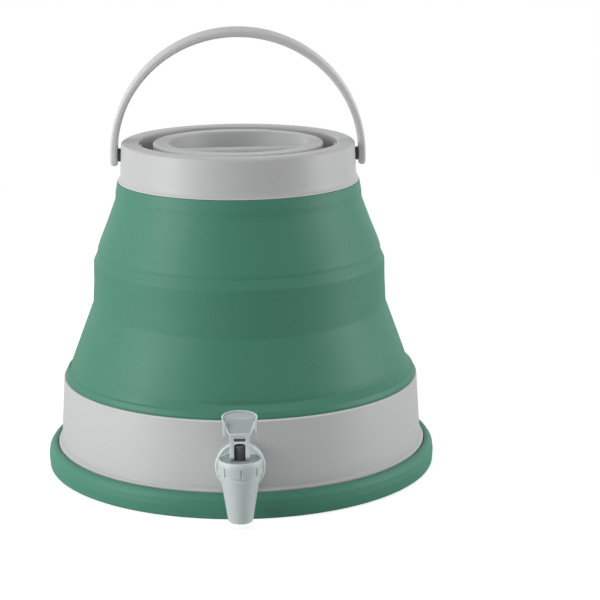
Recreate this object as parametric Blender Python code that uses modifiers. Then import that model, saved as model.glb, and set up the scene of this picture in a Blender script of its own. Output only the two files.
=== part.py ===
"""Collapsible water carrier with a folding silicone body, a screw lid, a bail handle and a push tap.

Metres, +Z up. The origin is on the carrier's axis, on the ground under the base tray. The tap faces -Y
and the handle's pivots lie along X.
"""

import math

import bmesh
import bpy
from mathutils import Matrix, Vector

MM = 0.001
DEGREE = math.pi / 180

# Clearances and fineness
GAP = 0.3 * MM
OVERRUN = 2 * MM
RING_STEPS = 40
SMALL_STEPS = 20
PIN_STEPS = 12
PIN_HEAD_STEPS = 24
ROUND_STEPS = 2
MERGE_DISTANCE = 0.01 * MM
CREASE_ANGLE = 35 * DEGREE

# Base tray
TRAY_RADIUS = 160 * MM
TRAY_WAIST_HEIGHT = 9.4 * MM
TRAY_FOOT_SETBACK = 1 * MM
TRAY_FOOT_ROUND = 2.5 * MM
TRAY_FOOT_WIDTH = 21 * MM
TRAY_RECESS = 1.2 * MM
TRAY_PAD_RADIUS = 45 * MM
TRAY_FLOOR = 5 * MM
TRAY_LEDGE_RISE = 3.7 * MM
TRAY_LEDGE_WIDTH = 7 * MM
TRAY_RIM_WIDTH = 7.6 * MM
TRAY_SIDE_SETBACK = 0.3 * MM
TRAY_SIDE_RISE = 7.1 * MM
TRAY_SIDE_ROUND = 4 * MM
TRAY_CROWN_SETBACK = 3.6 * MM
TRAY_CROWN_RISE = 5.1 * MM
TRAY_CROWN_ROUND = 3 * MM
TRAY_CHANNEL_DROP = 3 * MM
TRAY_FOOT_RADIUS = TRAY_RADIUS - TRAY_FOOT_SETBACK
TRAY_LEDGE = TRAY_FLOOR + TRAY_LEDGE_RISE
TRAY_SIDE_HEIGHT = TRAY_WAIST_HEIGHT + TRAY_SIDE_RISE
TRAY_CROWN_HEIGHT = TRAY_SIDE_HEIGHT + TRAY_CROWN_RISE
TRAY_CHANNEL_TOP = TRAY_CROWN_HEIGHT - TRAY_CHANNEL_DROP

# Lower ring, the rigid hoop that carries the tap
RING_WALL = 3 * MM
RING_FLARE_SETBACK = 3.1 * MM
RING_FLARE_RISE = 4.4 * MM
RING_FLARE_ROUND = 7 * MM
RING_NECK_SETBACK = 0.9 * MM
RING_NECK_RISE = 9.8 * MM
RING_TAPER = 2.4 * MM
RING_WALL_RISE = 42.3 * MM
RING_FLANGE_RADIUS = TRAY_RADIUS - TRAY_RIM_WIDTH - GAP
RING_FLARE_RADIUS = RING_FLANGE_RADIUS - RING_FLARE_SETBACK
RING_FLARE_HEIGHT = TRAY_CHANNEL_TOP + RING_FLARE_RISE
RING_NECK_RADIUS = RING_FLARE_RADIUS - RING_NECK_SETBACK
RING_NECK_HEIGHT = RING_FLARE_HEIGHT + RING_NECK_RISE
RING_TOP_RADIUS = RING_NECK_RADIUS - RING_TAPER
RING_TOP = RING_NECK_HEIGHT + RING_WALL_RISE

# Radii of the neck, the lid, the groove round it and the collar, from the bore outwards
NECK_BORE_RADIUS = 60 * MM
NECK_WALL = 3.2 * MM
LID_THREAD_ROOM = 2.6 * MM
LID_SKIRT_WALL = 3 * MM
GROOVE_WIDTH = 11.5 * MM
COLLAR_RIM_WIDTH = 15.4 * MM
COLLAR_TAPER = 1.3 * MM
COLLAR_FLARE = 2.5 * MM
NECK_RADIUS = NECK_BORE_RADIUS + NECK_WALL
LID_RADIUS = NECK_RADIUS + LID_THREAD_ROOM + LID_SKIRT_WALL
GROOVE_RADIUS = LID_RADIUS + GROOVE_WIDTH
COLLAR_RADIUS = GROOVE_RADIUS + COLLAR_RIM_WIDTH
COLLAR_TOP_RADIUS = COLLAR_RADIUS - COLLAR_TAPER
COLLAR_FOOT_RADIUS = COLLAR_RADIUS + COLLAR_FLARE

# Folding body, from the ring up: each station is a setback of its radius and a rise of its height
BELLOWS_WALL = 2.4 * MM
BELLOWS_ROUND = 3 * MM
TONGUE_DEPTH = 8 * MM
TONGUE_ROOT = 2.5 * MM
FOOT_STEP = 0.8 * MM
LOWER_SHOULDER_SETBACK = 1.7 * MM
LOWER_SHOULDER_RISE = 3.9 * MM
LOWER_LIP_SETBACK = 6.6 * MM
LOWER_LIP_RISE = 9.4 * MM
LOWER_CREASE_SETBACK = 1 * MM
LOWER_CREASE_RISE = 7.7 * MM
LOWER_CONE_RISE = 43 * MM
BAND_BULGE = 1.6 * MM
BAND_TAPER = 1.1 * MM
BAND_RISE = 32.3 * MM
UPPER_SHOULDER_SETBACK = 2 * MM
UPPER_SHOULDER_RISE = 5.6 * MM
UPPER_LIP_SETBACK = 3.4 * MM
UPPER_LIP_RISE = 9.8 * MM
UPPER_CONE_RISE = 34.7 * MM
NECK_BAND_STEP = 0.3 * MM
NECK_BAND_FLARE = 1.7 * MM
NECK_BAND_WAIST_RISE = 5.5 * MM
NECK_BAND_TOP_RISE = 8.8 * MM
NECK_BAND_TOP_RADIUS = COLLAR_FOOT_RADIUS
NECK_BAND_WAIST_RADIUS = NECK_BAND_TOP_RADIUS + NECK_BAND_FLARE
NECK_BAND_RADIUS = NECK_BAND_WAIST_RADIUS + NECK_BAND_STEP
FOOT_RADIUS = RING_TOP_RADIUS - FOOT_STEP
LOWER_SHOULDER_RADIUS = FOOT_RADIUS - LOWER_SHOULDER_SETBACK
LOWER_SHOULDER_HEIGHT = RING_TOP + LOWER_SHOULDER_RISE
LOWER_LIP_RADIUS = LOWER_SHOULDER_RADIUS - LOWER_LIP_SETBACK
LOWER_LIP_HEIGHT = LOWER_SHOULDER_HEIGHT + LOWER_LIP_RISE
LOWER_CREASE_RADIUS = LOWER_LIP_RADIUS - LOWER_CREASE_SETBACK
LOWER_CREASE_HEIGHT = LOWER_LIP_HEIGHT + LOWER_CREASE_RISE
BAND_RADIUS = (LOWER_CREASE_RADIUS + NECK_BAND_RADIUS) / 2 + BAND_BULGE
BAND_BOTTOM = LOWER_CREASE_HEIGHT + LOWER_CONE_RISE
BAND_TOP_RADIUS = BAND_RADIUS - BAND_TAPER
BAND_TOP = BAND_BOTTOM + BAND_RISE
UPPER_SHOULDER_RADIUS = BAND_TOP_RADIUS - UPPER_SHOULDER_SETBACK
UPPER_SHOULDER_HEIGHT = BAND_TOP + UPPER_SHOULDER_RISE
UPPER_LIP_RADIUS = UPPER_SHOULDER_RADIUS - UPPER_LIP_SETBACK
UPPER_LIP_HEIGHT = UPPER_SHOULDER_HEIGHT + UPPER_LIP_RISE
NECK_BAND_HEIGHT = UPPER_LIP_HEIGHT + UPPER_CONE_RISE
NECK_BAND_WAIST_HEIGHT = NECK_BAND_HEIGHT + NECK_BAND_WAIST_RISE

# Collar with the pouring neck
COLLAR_HEIGHT = 31.5 * MM
COLLAR_FLARE_RISE = 3 * MM
COLLAR_EDGE_ROUND = 3 * MM
COLLAR_WALL = 3 * MM
GROOVE_DEPTH = 20 * MM
GROOVE_EDGE_ROUND = 2 * MM
NECK_DROP = 6.4 * MM
NECK_DRIP = 6.5 * MM
COLLAR_FOOT = NECK_BAND_WAIST_HEIGHT + NECK_BAND_TOP_RISE
COLLAR_TOP = COLLAR_FOOT + COLLAR_HEIGHT
NECK_TOP = COLLAR_TOP - NECK_DROP

# Screw lid
LID_DROP = 1.3 * MM
LID_EDGE_ROUND = 2 * MM
LID_SKIRT_CLEARANCE = 1.2 * MM
LID_CROWN = 2.8 * MM
DISH_ROOM = 1.5 * MM
DISH_WALL = 2.5 * MM
DISH_DEPTH = 20 * MM
DISH_ROUND = 4 * MM
DISH_LIP_ROUND = 1.5 * MM
GRIP_WIDTH = 14 * MM
GRIP_DROP = 5 * MM
GRIP_EDGE_ROUND = 2 * MM
GRIP_TURN = 6.7 * DEGREE
SEAL_OVERHANG = 0.8 * MM
LID_TOP = COLLAR_TOP - LID_DROP
DISH_RADIUS = NECK_BORE_RADIUS - DISH_ROOM - DISH_WALL

# Bail handle
PIVOT_DROP = 11.3 * MM
HANDLE_ROOM = 1.8 * MM
HANDLE_THICKNESS = 5.7 * MM
HANDLE_WIDTH = 18 * MM
HANDLE_EDGE_ROUND = 2 * MM
HANDLE_ARC_STEPS = 40
HANDLE_LEAN = 6.2 * DEGREE
PIN_RADIUS = 2.5 * MM
PIN_ENTRY = 4 * MM
PIN_HEAD_RADIUS = 8.3 * MM
PIN_HEAD_HEIGHT = 2 * MM
WASHER_RADIUS = 5.4 * MM
PIVOT_HEIGHT = COLLAR_TOP - PIVOT_DROP
HANDLE_INNER_RADIUS = COLLAR_RADIUS + HANDLE_ROOM

# Tap mounting: the flange clears the tray's crown, and the pad behind it belongs to the ring
FLANGE_RADIUS = 19 * MM
FLANGE_THICKNESS = 2.8 * MM
FLANGE_RISE = 0.4 * MM
SHANK_RADIUS = 8.2 * MM
SHANK_WALL = 3 * MM
SHANK_OVERHANG = 11.5 * MM
TAP_PAD_MARGIN = 0.5 * MM
TAP_PAD_RISE = 1.9 * MM
TAP_PAD_THICKNESS = 9.5 * MM
GASKET_MARGIN = 2 * MM
GASKET_THICKNESS = 2 * MM
INNER_GASKET_RADIUS = 14 * MM
NUT_SIDES = 6
NUT_WIDTH = 25 * MM
NUT_THICKNESS = 6 * MM
NUT_COLLAR_RADIUS = 15 * MM
NUT_COLLAR_THICKNESS = 1.5 * MM
SHANK_HEIGHT = TRAY_CROWN_HEIGHT + FLANGE_RISE + FLANGE_RADIUS
SHANK_BORE_RADIUS = SHANK_RADIUS - SHANK_WALL
TAP_PAD_RADIUS = FLANGE_RADIUS - TAP_PAD_MARGIN
TAP_PAD_OUTER = RING_NECK_RADIUS + TAP_PAD_RISE
TAP_PAD_INNER = TAP_PAD_OUTER - TAP_PAD_THICKNESS
GASKET_RADIUS = FLANGE_RADIUS - GASKET_MARGIN
SHANK_END = TAP_PAD_INNER - SHANK_OVERHANG
FLANGE_BACK = TAP_PAD_OUTER + 2 * GAP + GASKET_THICKNESS
FLANGE_FRONT = FLANGE_BACK + FLANGE_THICKNESS

# Tap barrel, spout and cap
THREAD_RADIUS = 13.1 * MM
THREAD_LENGTH = 6.8 * MM
BARREL_STEP = 2.1 * MM
BARREL_RISE = 2.7 * MM
SPOUT_BOTTOM = 6 * MM
SPOUT_RADIUS = 9.5 * MM
SPOUT_WALL = 2 * MM
SPOUT_EDGE_ROUND = 1 * MM
BORE_TAPER = 1.1 * MM
TAP_NECK_STEP = 0.8 * MM
TAP_NECK_LENGTH = 5.8 * MM
WATERWAY_RADIUS = 4.6 * MM
WATERWAY_DROP = 3 * MM
CHAMBER_WALL = 1.9 * MM
SEAT_DROP = 9 * MM
SEAT_THICKNESS = 2.5 * MM
SEAT_HOLE_RADIUS = 4.5 * MM
CAP_WALL = 3.4 * MM
CAP_TAPER = 0.6 * MM
CAP_RIM_WIDTH = 1 * MM
CAP_RIM_HEIGHT = 1 * MM
CAP_PLATE = 2 * MM
CAP_EDGE_ROUND = 1 * MM
CAP_GROOVES = 8
CAP_GROOVE_WIDTH = 1 * MM
CAP_GROOVE_DEPTH = 0.8 * MM
CAP_GROOVE_TOP_MARGIN = 4 * MM
CUP_FLANGE_WIDTH = 3.6 * MM
CUP_FLANGE_THICKNESS = 1.3 * MM
TAP_NECK_RADIUS = SHANK_RADIUS + TAP_NECK_STEP
WATERWAY_HEIGHT = SHANK_HEIGHT - WATERWAY_DROP
BARREL_RADIUS = THREAD_RADIUS + BARREL_STEP
BARREL_TOP = SHANK_HEIGHT + BARREL_RISE
THREAD_TOP = BARREL_TOP + THREAD_LENGTH
CHAMBER_RADIUS = THREAD_RADIUS - CHAMBER_WALL
SPOUT_BORE_RADIUS = SPOUT_RADIUS - SPOUT_WALL
BARREL_BORE_RADIUS = SPOUT_BORE_RADIUS + BORE_TAPER
SEAT_TOP = SHANK_HEIGHT - SEAT_DROP
CUP_FLANGE_RADIUS = THREAD_RADIUS - GAP
CAP_RADIUS = THREAD_RADIUS + GAP + CAP_WALL
CAP_TOP_RADIUS = CAP_RADIUS - CAP_TAPER
CAP_UNDERSIDE = THREAD_TOP + CUP_FLANGE_THICKNESS + 2 * GAP
CAP_FACE = CAP_UNDERSIDE + CAP_PLATE
CAP_TOP = CAP_FACE + CAP_RIM_HEIGHT
TAP_REACH = FLANGE_FRONT + TAP_NECK_LENGTH + CAP_RADIUS

# Tap valve: silicone seat cup and stem
STEM_RADIUS = 4.15 * MM
STEM_RISE = 10.9 * MM
STEM_DOME = 0.9 * MM
CUP_PLUG_RADIUS = 6.8 * MM
CUP_PLUG_HEIGHT = 3 * MM
CUP_SOCKET_DEPTH = 2.8 * MM
CUP_SOCKET_WALL = 1.2 * MM
STEM_TOP = CAP_TOP + STEM_RISE

# Tap lever
LEVER_PIN_RADIUS = 1.5 * MM
CHEEK_THICKNESS = 2.9 * MM
HEEL_RADIUS = 5.6 * MM
HEEL_ROOM = 0.8 * MM
LEVER_LIFT = 3 * MM
LEVER_TRAVEL = 75 * DEGREE
ARM_DEPTH = 7 * MM
ARM_RISE = 13.2 * MM
BRIDGE_HEIGHT = 3.5 * MM
PADDLE_LENGTH = 19.5 * MM
PADDLE_WIDTH = 27 * MM
PADDLE_THICKNESS = 2.4 * MM
PADDLE_RIM_WIDTH = 1.2 * MM
PADDLE_RIM_HEIGHT = 0.9 * MM
PADDLE_LEAN = 35 * DEGREE
PADDLE_SIDE_SHARES = ((0.67, 0.0), (0.72, 0.12), (0.80, 0.27), (0.93, 0.49), (1.0, 0.72))
PADDLE_CROWN_SHARE = 0.78
TAB_SPACING = 21.8 * MM
TAB_WIDTH = 1.6 * MM
TAB_DEPTH = 3 * MM
TAB_DROP = 3.6 * MM
TAB_RISE = 5 * MM
LEVER_PIN_HEIGHT = CAP_FACE + HEEL_RADIUS + HEEL_ROOM

GREEN = (0.10, 0.27, 0.19)
WARM_GREY = (0.55, 0.55, 0.54)
TAP_GREY = (0.50, 0.54, 0.54)
DARK_GREY = (0.07, 0.07, 0.075)
CLEAR_SILICONE = (0.70, 0.71, 0.70)


def clear_scene():
    for old in list(bpy.data.objects):
        bpy.data.objects.remove(old, do_unlink=True)


def new_collection(name):
    collection = bpy.data.collections.new(name)
    bpy.context.scene.collection.children.link(collection)
    return collection


def plastic(name, colour, roughness):
    material = bpy.data.materials.new(name)
    material.use_nodes = True
    shader = material.node_tree.nodes["Principled BSDF"]
    shader.inputs["Base Color"].default_value = (*colour, 1.0)
    shader.inputs["Roughness"].default_value = roughness
    shader.inputs["Metallic"].default_value = 0.0
    return material


clear_scene()
PARTS = new_collection("collapsible_water_carrier")
CUTTERS = new_collection("cutters")
CUTTERS.hide_render = True


def show(obj, material):
    """Puts a finished piece among the parts."""
    PARTS.objects.link(obj)
    obj.data.materials.clear()
    obj.data.materials.append(material)
    return obj


def hide(obj):
    """Puts a helper shape among the cutters."""
    CUTTERS.objects.link(obj)
    obj.hide_render = True
    obj.display_type = "WIRE"
    return obj


def rounded(corners):
    """Points of an outline whose corners (x, y, radius) are rounded where a radius is given."""
    points = []
    for before, here, after in zip(corners[-1:] + corners[:-1], corners, corners[1:] + corners[:1]):
        radius = here[2] if len(here) > 2 else 0
        if not radius:
            points.append((here[0], here[1]))
            continue
        corner = Vector(here[:2])
        back = (Vector(before[:2]) - corner).normalized()
        on = (Vector(after[:2]) - corner).normalized()
        half = back.angle(on) / 2
        reach = radius / math.tan(half)
        centre = corner + (back + on).normalized() * (radius / math.sin(half))
        start = corner + back * reach - centre
        end = corner + on * reach - centre
        for i in range(ROUND_STEPS + 1):
            share = i / ROUND_STEPS
            points.append(tuple(centre + start.slerp(end, share).normalized() * radius))
    return points


def inner_side(line, wall):
    """An open outline moved to its left by the wall, as a mould's inner side follows its outer side.

    Its two ends move level. An outline that runs down its outer side has a negative wall.
    """
    moved = []
    for i, corner in enumerate(line):
        here = Vector(corner[:2])
        before = Vector(line[max(i - 1, 0)][:2])
        after = Vector(line[min(i + 1, len(line) - 1)][:2])
        sides = [side.normalized() for side in (here - before, after - here) if side.length]
        normals = [Vector((-side.y, side.x)) for side in sides]
        if len(normals) == 1:
            moved.append((here.x + wall / normals[0].x, here.y))
            continue
        middle = (normals[0] + normals[1]).normalized()
        moved.append(tuple(here + middle * wall / middle.dot(normals[0])))
    return moved


def turned(name, profile, steps, closed=True, axis="Z"):
    """A profile of (radius, height) points carried round Z by a Screw. It runs down its outer side.

    A profile that is not closed starts and ends on the axis. With axis "Y" its heights run towards -Y.
    """
    mesh = bpy.data.meshes.new(name)
    points = [(radius, 0, height) for radius, height in profile]
    edges = [(i, i + 1) for i in range(len(points) - 1)]
    if closed:
        edges.append((len(points) - 1, 0))
    mesh.from_pydata(points, edges, [])
    obj = bpy.data.objects.new(name, mesh)
    screw = obj.modifiers.new("Screw", "SCREW")
    screw.steps = screw.render_steps = steps
    screw.use_merge_vertices = True
    screw.merge_threshold = MERGE_DISTANCE
    screw.use_smooth_shade = True
    if axis == "Y":
        obj.rotation_euler.x = math.pi / 2
    return obj


def smooth(mesh):
    """Shades the round faces smooth and keeps the edges crisp."""
    mesh.shade_smooth()
    mesh.set_sharp_from_angle(angle=CREASE_ANGLE)


def cylinder(name, radius, start, end, steps):
    """A closed cylinder between two points, built from a bmesh cone with equal ends."""
    start, end = Vector(start), Vector(end)
    along = end - start
    build = bmesh.new()
    bmesh.ops.create_cone(
        build, cap_ends=True, segments=steps, radius1=radius, radius2=radius, depth=along.length
    )
    turn = along.to_track_quat("Z", "Y").to_matrix().to_4x4()
    build.transform(Matrix.Translation((start + end) / 2) @ turn)
    mesh = bpy.data.meshes.new(name)
    build.to_mesh(mesh)
    build.free()
    smooth(mesh)
    return bpy.data.objects.new(name, mesh)


def block(name, low, high):
    """A closed box between two corners."""
    low, high = Vector(low), Vector(high)
    build = bmesh.new()
    bmesh.ops.create_cube(build, size=1)
    size = Matrix.Diagonal((*(high - low), 1))
    build.transform(Matrix.Translation((low + high) / 2) @ size)
    mesh = bpy.data.meshes.new(name)
    build.to_mesh(mesh)
    build.free()
    return bpy.data.objects.new(name, mesh)


def flat_plate(name, outline, thickness, edge_round=0):
    """An outline in the XY plane, filled and given a thickness to both sides of it, as a closed mesh."""
    curve = bpy.data.curves.new(name, "CURVE")
    curve.dimensions = "2D"
    curve.fill_mode = "BOTH"
    curve.extrude = thickness / 2 - edge_round
    curve.bevel_depth = edge_round
    curve.bevel_resolution = 1
    curve.offset = -edge_round
    spline = curve.splines.new("POLY")
    spline.points.add(len(outline) - 1)
    for point, (x, y) in zip(spline.points, outline):
        point.co = (x, y, 0, 1)
    spline.use_cyclic_u = True
    guide = bpy.data.objects.new(name + "_outline", curve)
    CUTTERS.objects.link(guide)
    bpy.context.view_layer.update()
    graph = bpy.context.evaluated_depsgraph_get()
    mesh = bpy.data.meshes.new_from_object(guide.evaluated_get(graph))
    bpy.data.objects.remove(guide, do_unlink=True)
    build = bmesh.new()
    build.from_mesh(mesh)
    bmesh.ops.remove_doubles(build, verts=build.verts, dist=MERGE_DISTANCE)
    bmesh.ops.recalc_face_normals(build, faces=build.faces)
    build.to_mesh(mesh)
    build.free()
    smooth(mesh)
    return bpy.data.objects.new(name, mesh)


def combine(obj, other, operation, solver="EXACT"):
    """Adds a Boolean to the piece, with the other shape kept among the cutters."""
    if other.name not in CUTTERS.objects:
        hide(other)
    modifier = obj.modifiers.new(operation.title() + " " + other.name, "BOOLEAN")
    modifier.operation = operation
    modifier.solver = solver
    modifier.object = other


def place(obj, at):
    obj.location = at
    return obj


green = plastic("green_silicone", GREEN, 0.5)
grey = plastic("warm_grey_plastic", WARM_GREY, 0.45)
tap_grey = plastic("tap_grey_plastic", TAP_GREY, 0.35)
dark = plastic("dark_grey_plastic", DARK_GREY, 0.5)
silicone = plastic("clear_silicone", CLEAR_SILICONE, 0.4)


def base_tray():
    """Green tray with a channel round its rim for the lower ring, and a foot and a pad under it."""
    channel = RING_FLANGE_RADIUS + GAP
    ledge = channel - TRAY_LEDGE_WIDTH
    foot = TRAY_FOOT_RADIUS - TRAY_FOOT_WIDTH
    profile = rounded([
        (0, TRAY_FLOOR),
        (ledge, TRAY_FLOOR),
        (ledge, TRAY_LEDGE),
        (channel, TRAY_LEDGE),
        (channel, TRAY_CHANNEL_TOP),
        (TRAY_RADIUS - TRAY_CROWN_SETBACK, TRAY_CROWN_HEIGHT, TRAY_CROWN_ROUND),
        (TRAY_RADIUS - TRAY_SIDE_SETBACK, TRAY_SIDE_HEIGHT, TRAY_SIDE_ROUND),
        (TRAY_RADIUS, TRAY_WAIST_HEIGHT),
        (TRAY_FOOT_RADIUS, 0, TRAY_FOOT_ROUND),
        (foot, 0),
        (foot - TRAY_RECESS, TRAY_RECESS),
        (TRAY_PAD_RADIUS + TRAY_RECESS, TRAY_RECESS),
        (TRAY_PAD_RADIUS, 0),
        (0, 0),
    ])
    show(turned("base_tray", profile, RING_STEPS, closed=False), green)


def lower_ring():
    """Grey hoop with a flared flange in the tray, and a flat pad bored for the tap's shank."""
    foot = TRAY_LEDGE + GAP
    outer = [
        (RING_TOP_RADIUS, RING_TOP),
        (RING_NECK_RADIUS, RING_NECK_HEIGHT),
        (RING_FLARE_RADIUS, RING_FLARE_HEIGHT, RING_FLARE_ROUND),
        (RING_FLANGE_RADIUS, TRAY_CHANNEL_TOP),
        (RING_FLANGE_RADIUS, foot),
    ]
    inner = [(radius - RING_WALL, height) for radius, height, *_ in reversed(outer)]
    ring = turned("lower_ring", rounded(outer + inner), RING_STEPS)
    at_pad = Vector((0, 0, SHANK_HEIGHT))
    pad = cylinder(
        "tap_pad", TAP_PAD_RADIUS, at_pad - Vector((0, TAP_PAD_OUTER, 0)),
        at_pad - Vector((0, TAP_PAD_INNER, 0)), SMALL_STEPS,
    )
    hole = cylinder(
        "tap_hole", SHANK_RADIUS + GAP, at_pad - Vector((0, TAP_PAD_OUTER + OVERRUN, 0)),
        at_pad - Vector((0, TAP_PAD_INNER - OVERRUN, 0)), SMALL_STEPS,
    )
    combine(ring, pad, "UNION")
    combine(ring, hole, "DIFFERENCE")
    show(ring, grey)


def bellows():
    """The folding body, divided where it folds: two cones that turn inside out and two stiff bands."""
    tongue = RING_TOP_RADIUS - RING_WALL - GAP
    seat = RING_TOP + GAP
    outer = [
        (BAND_RADIUS, BAND_BOTTOM - GAP),
        (LOWER_CREASE_RADIUS, LOWER_CREASE_HEIGHT, BELLOWS_ROUND),
        (LOWER_LIP_RADIUS, LOWER_LIP_HEIGHT, BELLOWS_ROUND),
        (LOWER_SHOULDER_RADIUS, LOWER_SHOULDER_HEIGHT, BELLOWS_ROUND),
        (FOOT_RADIUS, seat),
    ]
    inner = inner_side(outer, -BELLOWS_WALL)[:-1]
    foot = [
        (tongue, seat),
        (tongue, RING_TOP - TONGUE_DEPTH),
        (tongue - BELLOWS_WALL, RING_TOP - TONGUE_DEPTH),
        (tongue - BELLOWS_WALL, seat),
    ]
    show(turned("bellows_lower_fold", rounded(outer + foot + inner[::-1]), RING_STEPS), green)

    band = [(BAND_TOP_RADIUS, BAND_TOP), (BAND_RADIUS, BAND_BOTTOM)]
    inside = [(radius - BELLOWS_WALL, height) for radius, height in reversed(band)]
    show(turned("bellows_middle_band", band + inside, RING_STEPS), green)

    outer = [
        (NECK_BAND_RADIUS, NECK_BAND_HEIGHT - GAP),
        (UPPER_LIP_RADIUS, UPPER_LIP_HEIGHT, BELLOWS_ROUND),
        (UPPER_SHOULDER_RADIUS, UPPER_SHOULDER_HEIGHT, BELLOWS_ROUND),
        (BAND_TOP_RADIUS, BAND_TOP + GAP),
    ]
    inner = inner_side(outer, -BELLOWS_WALL)
    show(turned("bellows_upper_fold", rounded(outer + inner[::-1]), RING_STEPS), green)

    tongue = COLLAR_RADIUS - COLLAR_WALL - GAP
    seat = COLLAR_FOOT - GAP
    web = seat - TONGUE_ROOT
    outer = [
        (NECK_BAND_TOP_RADIUS, seat),
        (NECK_BAND_WAIST_RADIUS, NECK_BAND_WAIST_HEIGHT),
        (NECK_BAND_RADIUS, NECK_BAND_HEIGHT),
    ]
    inner = [
        (NECK_BAND_RADIUS - BELLOWS_WALL, NECK_BAND_HEIGHT),
        (NECK_BAND_WAIST_RADIUS - BELLOWS_WALL, NECK_BAND_WAIST_HEIGHT),
        (tongue - BELLOWS_WALL, web),
        (tongue - BELLOWS_WALL, seat + TONGUE_DEPTH),
        (tongue, seat + TONGUE_DEPTH),
        (tongue, seat),
    ]
    show(turned("bellows_top_band", outer + inner, RING_STEPS), green)


def collar():
    """Grey top: outer wall, rim and the groove's outer wall, in one upturned channel."""
    under = COLLAR_TOP - GROOVE_DEPTH - COLLAR_WALL
    profile = rounded([
        (GROOVE_RADIUS, COLLAR_TOP, GROOVE_EDGE_ROUND),
        (COLLAR_TOP_RADIUS, COLLAR_TOP, COLLAR_EDGE_ROUND),
        (COLLAR_RADIUS, COLLAR_FOOT + COLLAR_FLARE_RISE),
        (COLLAR_FOOT_RADIUS, COLLAR_FOOT),
        (COLLAR_FOOT_RADIUS - COLLAR_WALL, COLLAR_FOOT),
        (COLLAR_RADIUS - COLLAR_WALL, COLLAR_FOOT + COLLAR_FLARE_RISE),
        (COLLAR_TOP_RADIUS - COLLAR_WALL, COLLAR_TOP - COLLAR_WALL),
        (GROOVE_RADIUS + COLLAR_WALL, COLLAR_TOP - COLLAR_WALL),
        (GROOVE_RADIUS + COLLAR_WALL, under),
        (GROOVE_RADIUS, under),
    ])
    body = turned("collar", profile, RING_STEPS)
    for side, word in ((-1, "left"), (1, "right")):
        hole = cylinder(
            "pivot_hole_" + word, PIN_RADIUS + GAP,
            (side * (GROOVE_RADIUS - OVERRUN), 0, PIVOT_HEIGHT),
            (side * (COLLAR_RADIUS + OVERRUN), 0, PIVOT_HEIGHT), PIN_STEPS,
        )
        combine(body, hole, "DIFFERENCE")
    show(body, grey)


def groove_floor():
    """Floor of the finger groove, between the collar's inner wall and the neck."""
    top = COLLAR_TOP - GROOVE_DEPTH
    profile = [
        (NECK_RADIUS + GAP, top),
        (GROOVE_RADIUS - GAP, top),
        (GROOVE_RADIUS - GAP, top - COLLAR_WALL),
        (NECK_RADIUS + GAP, top - COLLAR_WALL),
    ]
    show(turned("groove_floor", profile, RING_STEPS), grey)


def neck():
    """Neck that the lid screws on, with a drip edge below the groove's floor."""
    foot = COLLAR_TOP - GROOVE_DEPTH - COLLAR_WALL - NECK_DRIP
    profile = [
        (NECK_RADIUS, foot),
        (NECK_BORE_RADIUS, foot),
        (NECK_BORE_RADIUS, NECK_TOP),
        (NECK_RADIUS, NECK_TOP),
    ]
    show(turned("neck", profile, RING_STEPS), grey)


def lid():
    """Screw lid: a skirt outside the neck, a dish inside it, and a straight grip bar across the dish."""
    floor = LID_TOP - DISH_DEPTH
    skirt_foot = COLLAR_TOP - GROOVE_DEPTH + LID_SKIRT_CLEARANCE
    skirt = LID_RADIUS - LID_SKIRT_WALL
    crown = LID_TOP - LID_CROWN
    profile = rounded([
        (0, floor),
        (DISH_RADIUS, floor, DISH_ROUND),
        (DISH_RADIUS, LID_TOP, DISH_LIP_ROUND),
        (LID_RADIUS, LID_TOP, LID_EDGE_ROUND),
        (LID_RADIUS, skirt_foot),
        (skirt, skirt_foot),
        (skirt, crown),
        (DISH_RADIUS + DISH_WALL, crown),
        (DISH_RADIUS + DISH_WALL, floor - DISH_WALL, DISH_ROUND),
        (0, floor - DISH_WALL),
    ])
    cover = turned("lid", profile, RING_STEPS, closed=False)
    half = GRIP_WIDTH / 2
    top = LID_TOP - GRIP_DROP
    middle = floor - DISH_WALL / 2
    outline = rounded([
        (-half, middle),
        (half, middle),
        (half, top, GRIP_EDGE_ROUND),
        (-half, top, GRIP_EDGE_ROUND),
    ])
    bar = flat_plate("grip_bar", outline, 2 * DISH_RADIUS + DISH_WALL)
    lengthways = Matrix.Rotation(GRIP_TURN, 4, "Z") @ Matrix.Rotation(math.pi / 2, 4, "Z")
    bar.data.transform(lengthways @ Matrix.Rotation(math.pi / 2, 4, "X"))
    combine(cover, bar, "UNION")
    show(cover, grey)

    seal = [
        (skirt - GAP, crown - GAP),
        (skirt - GAP, NECK_TOP + GAP),
        (NECK_BORE_RADIUS - SEAL_OVERHANG, NECK_TOP + GAP),
        (NECK_BORE_RADIUS - SEAL_OVERHANG, crown - GAP),
    ]
    show(turned("lid_seal", seal, RING_STEPS), silicone)


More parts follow.
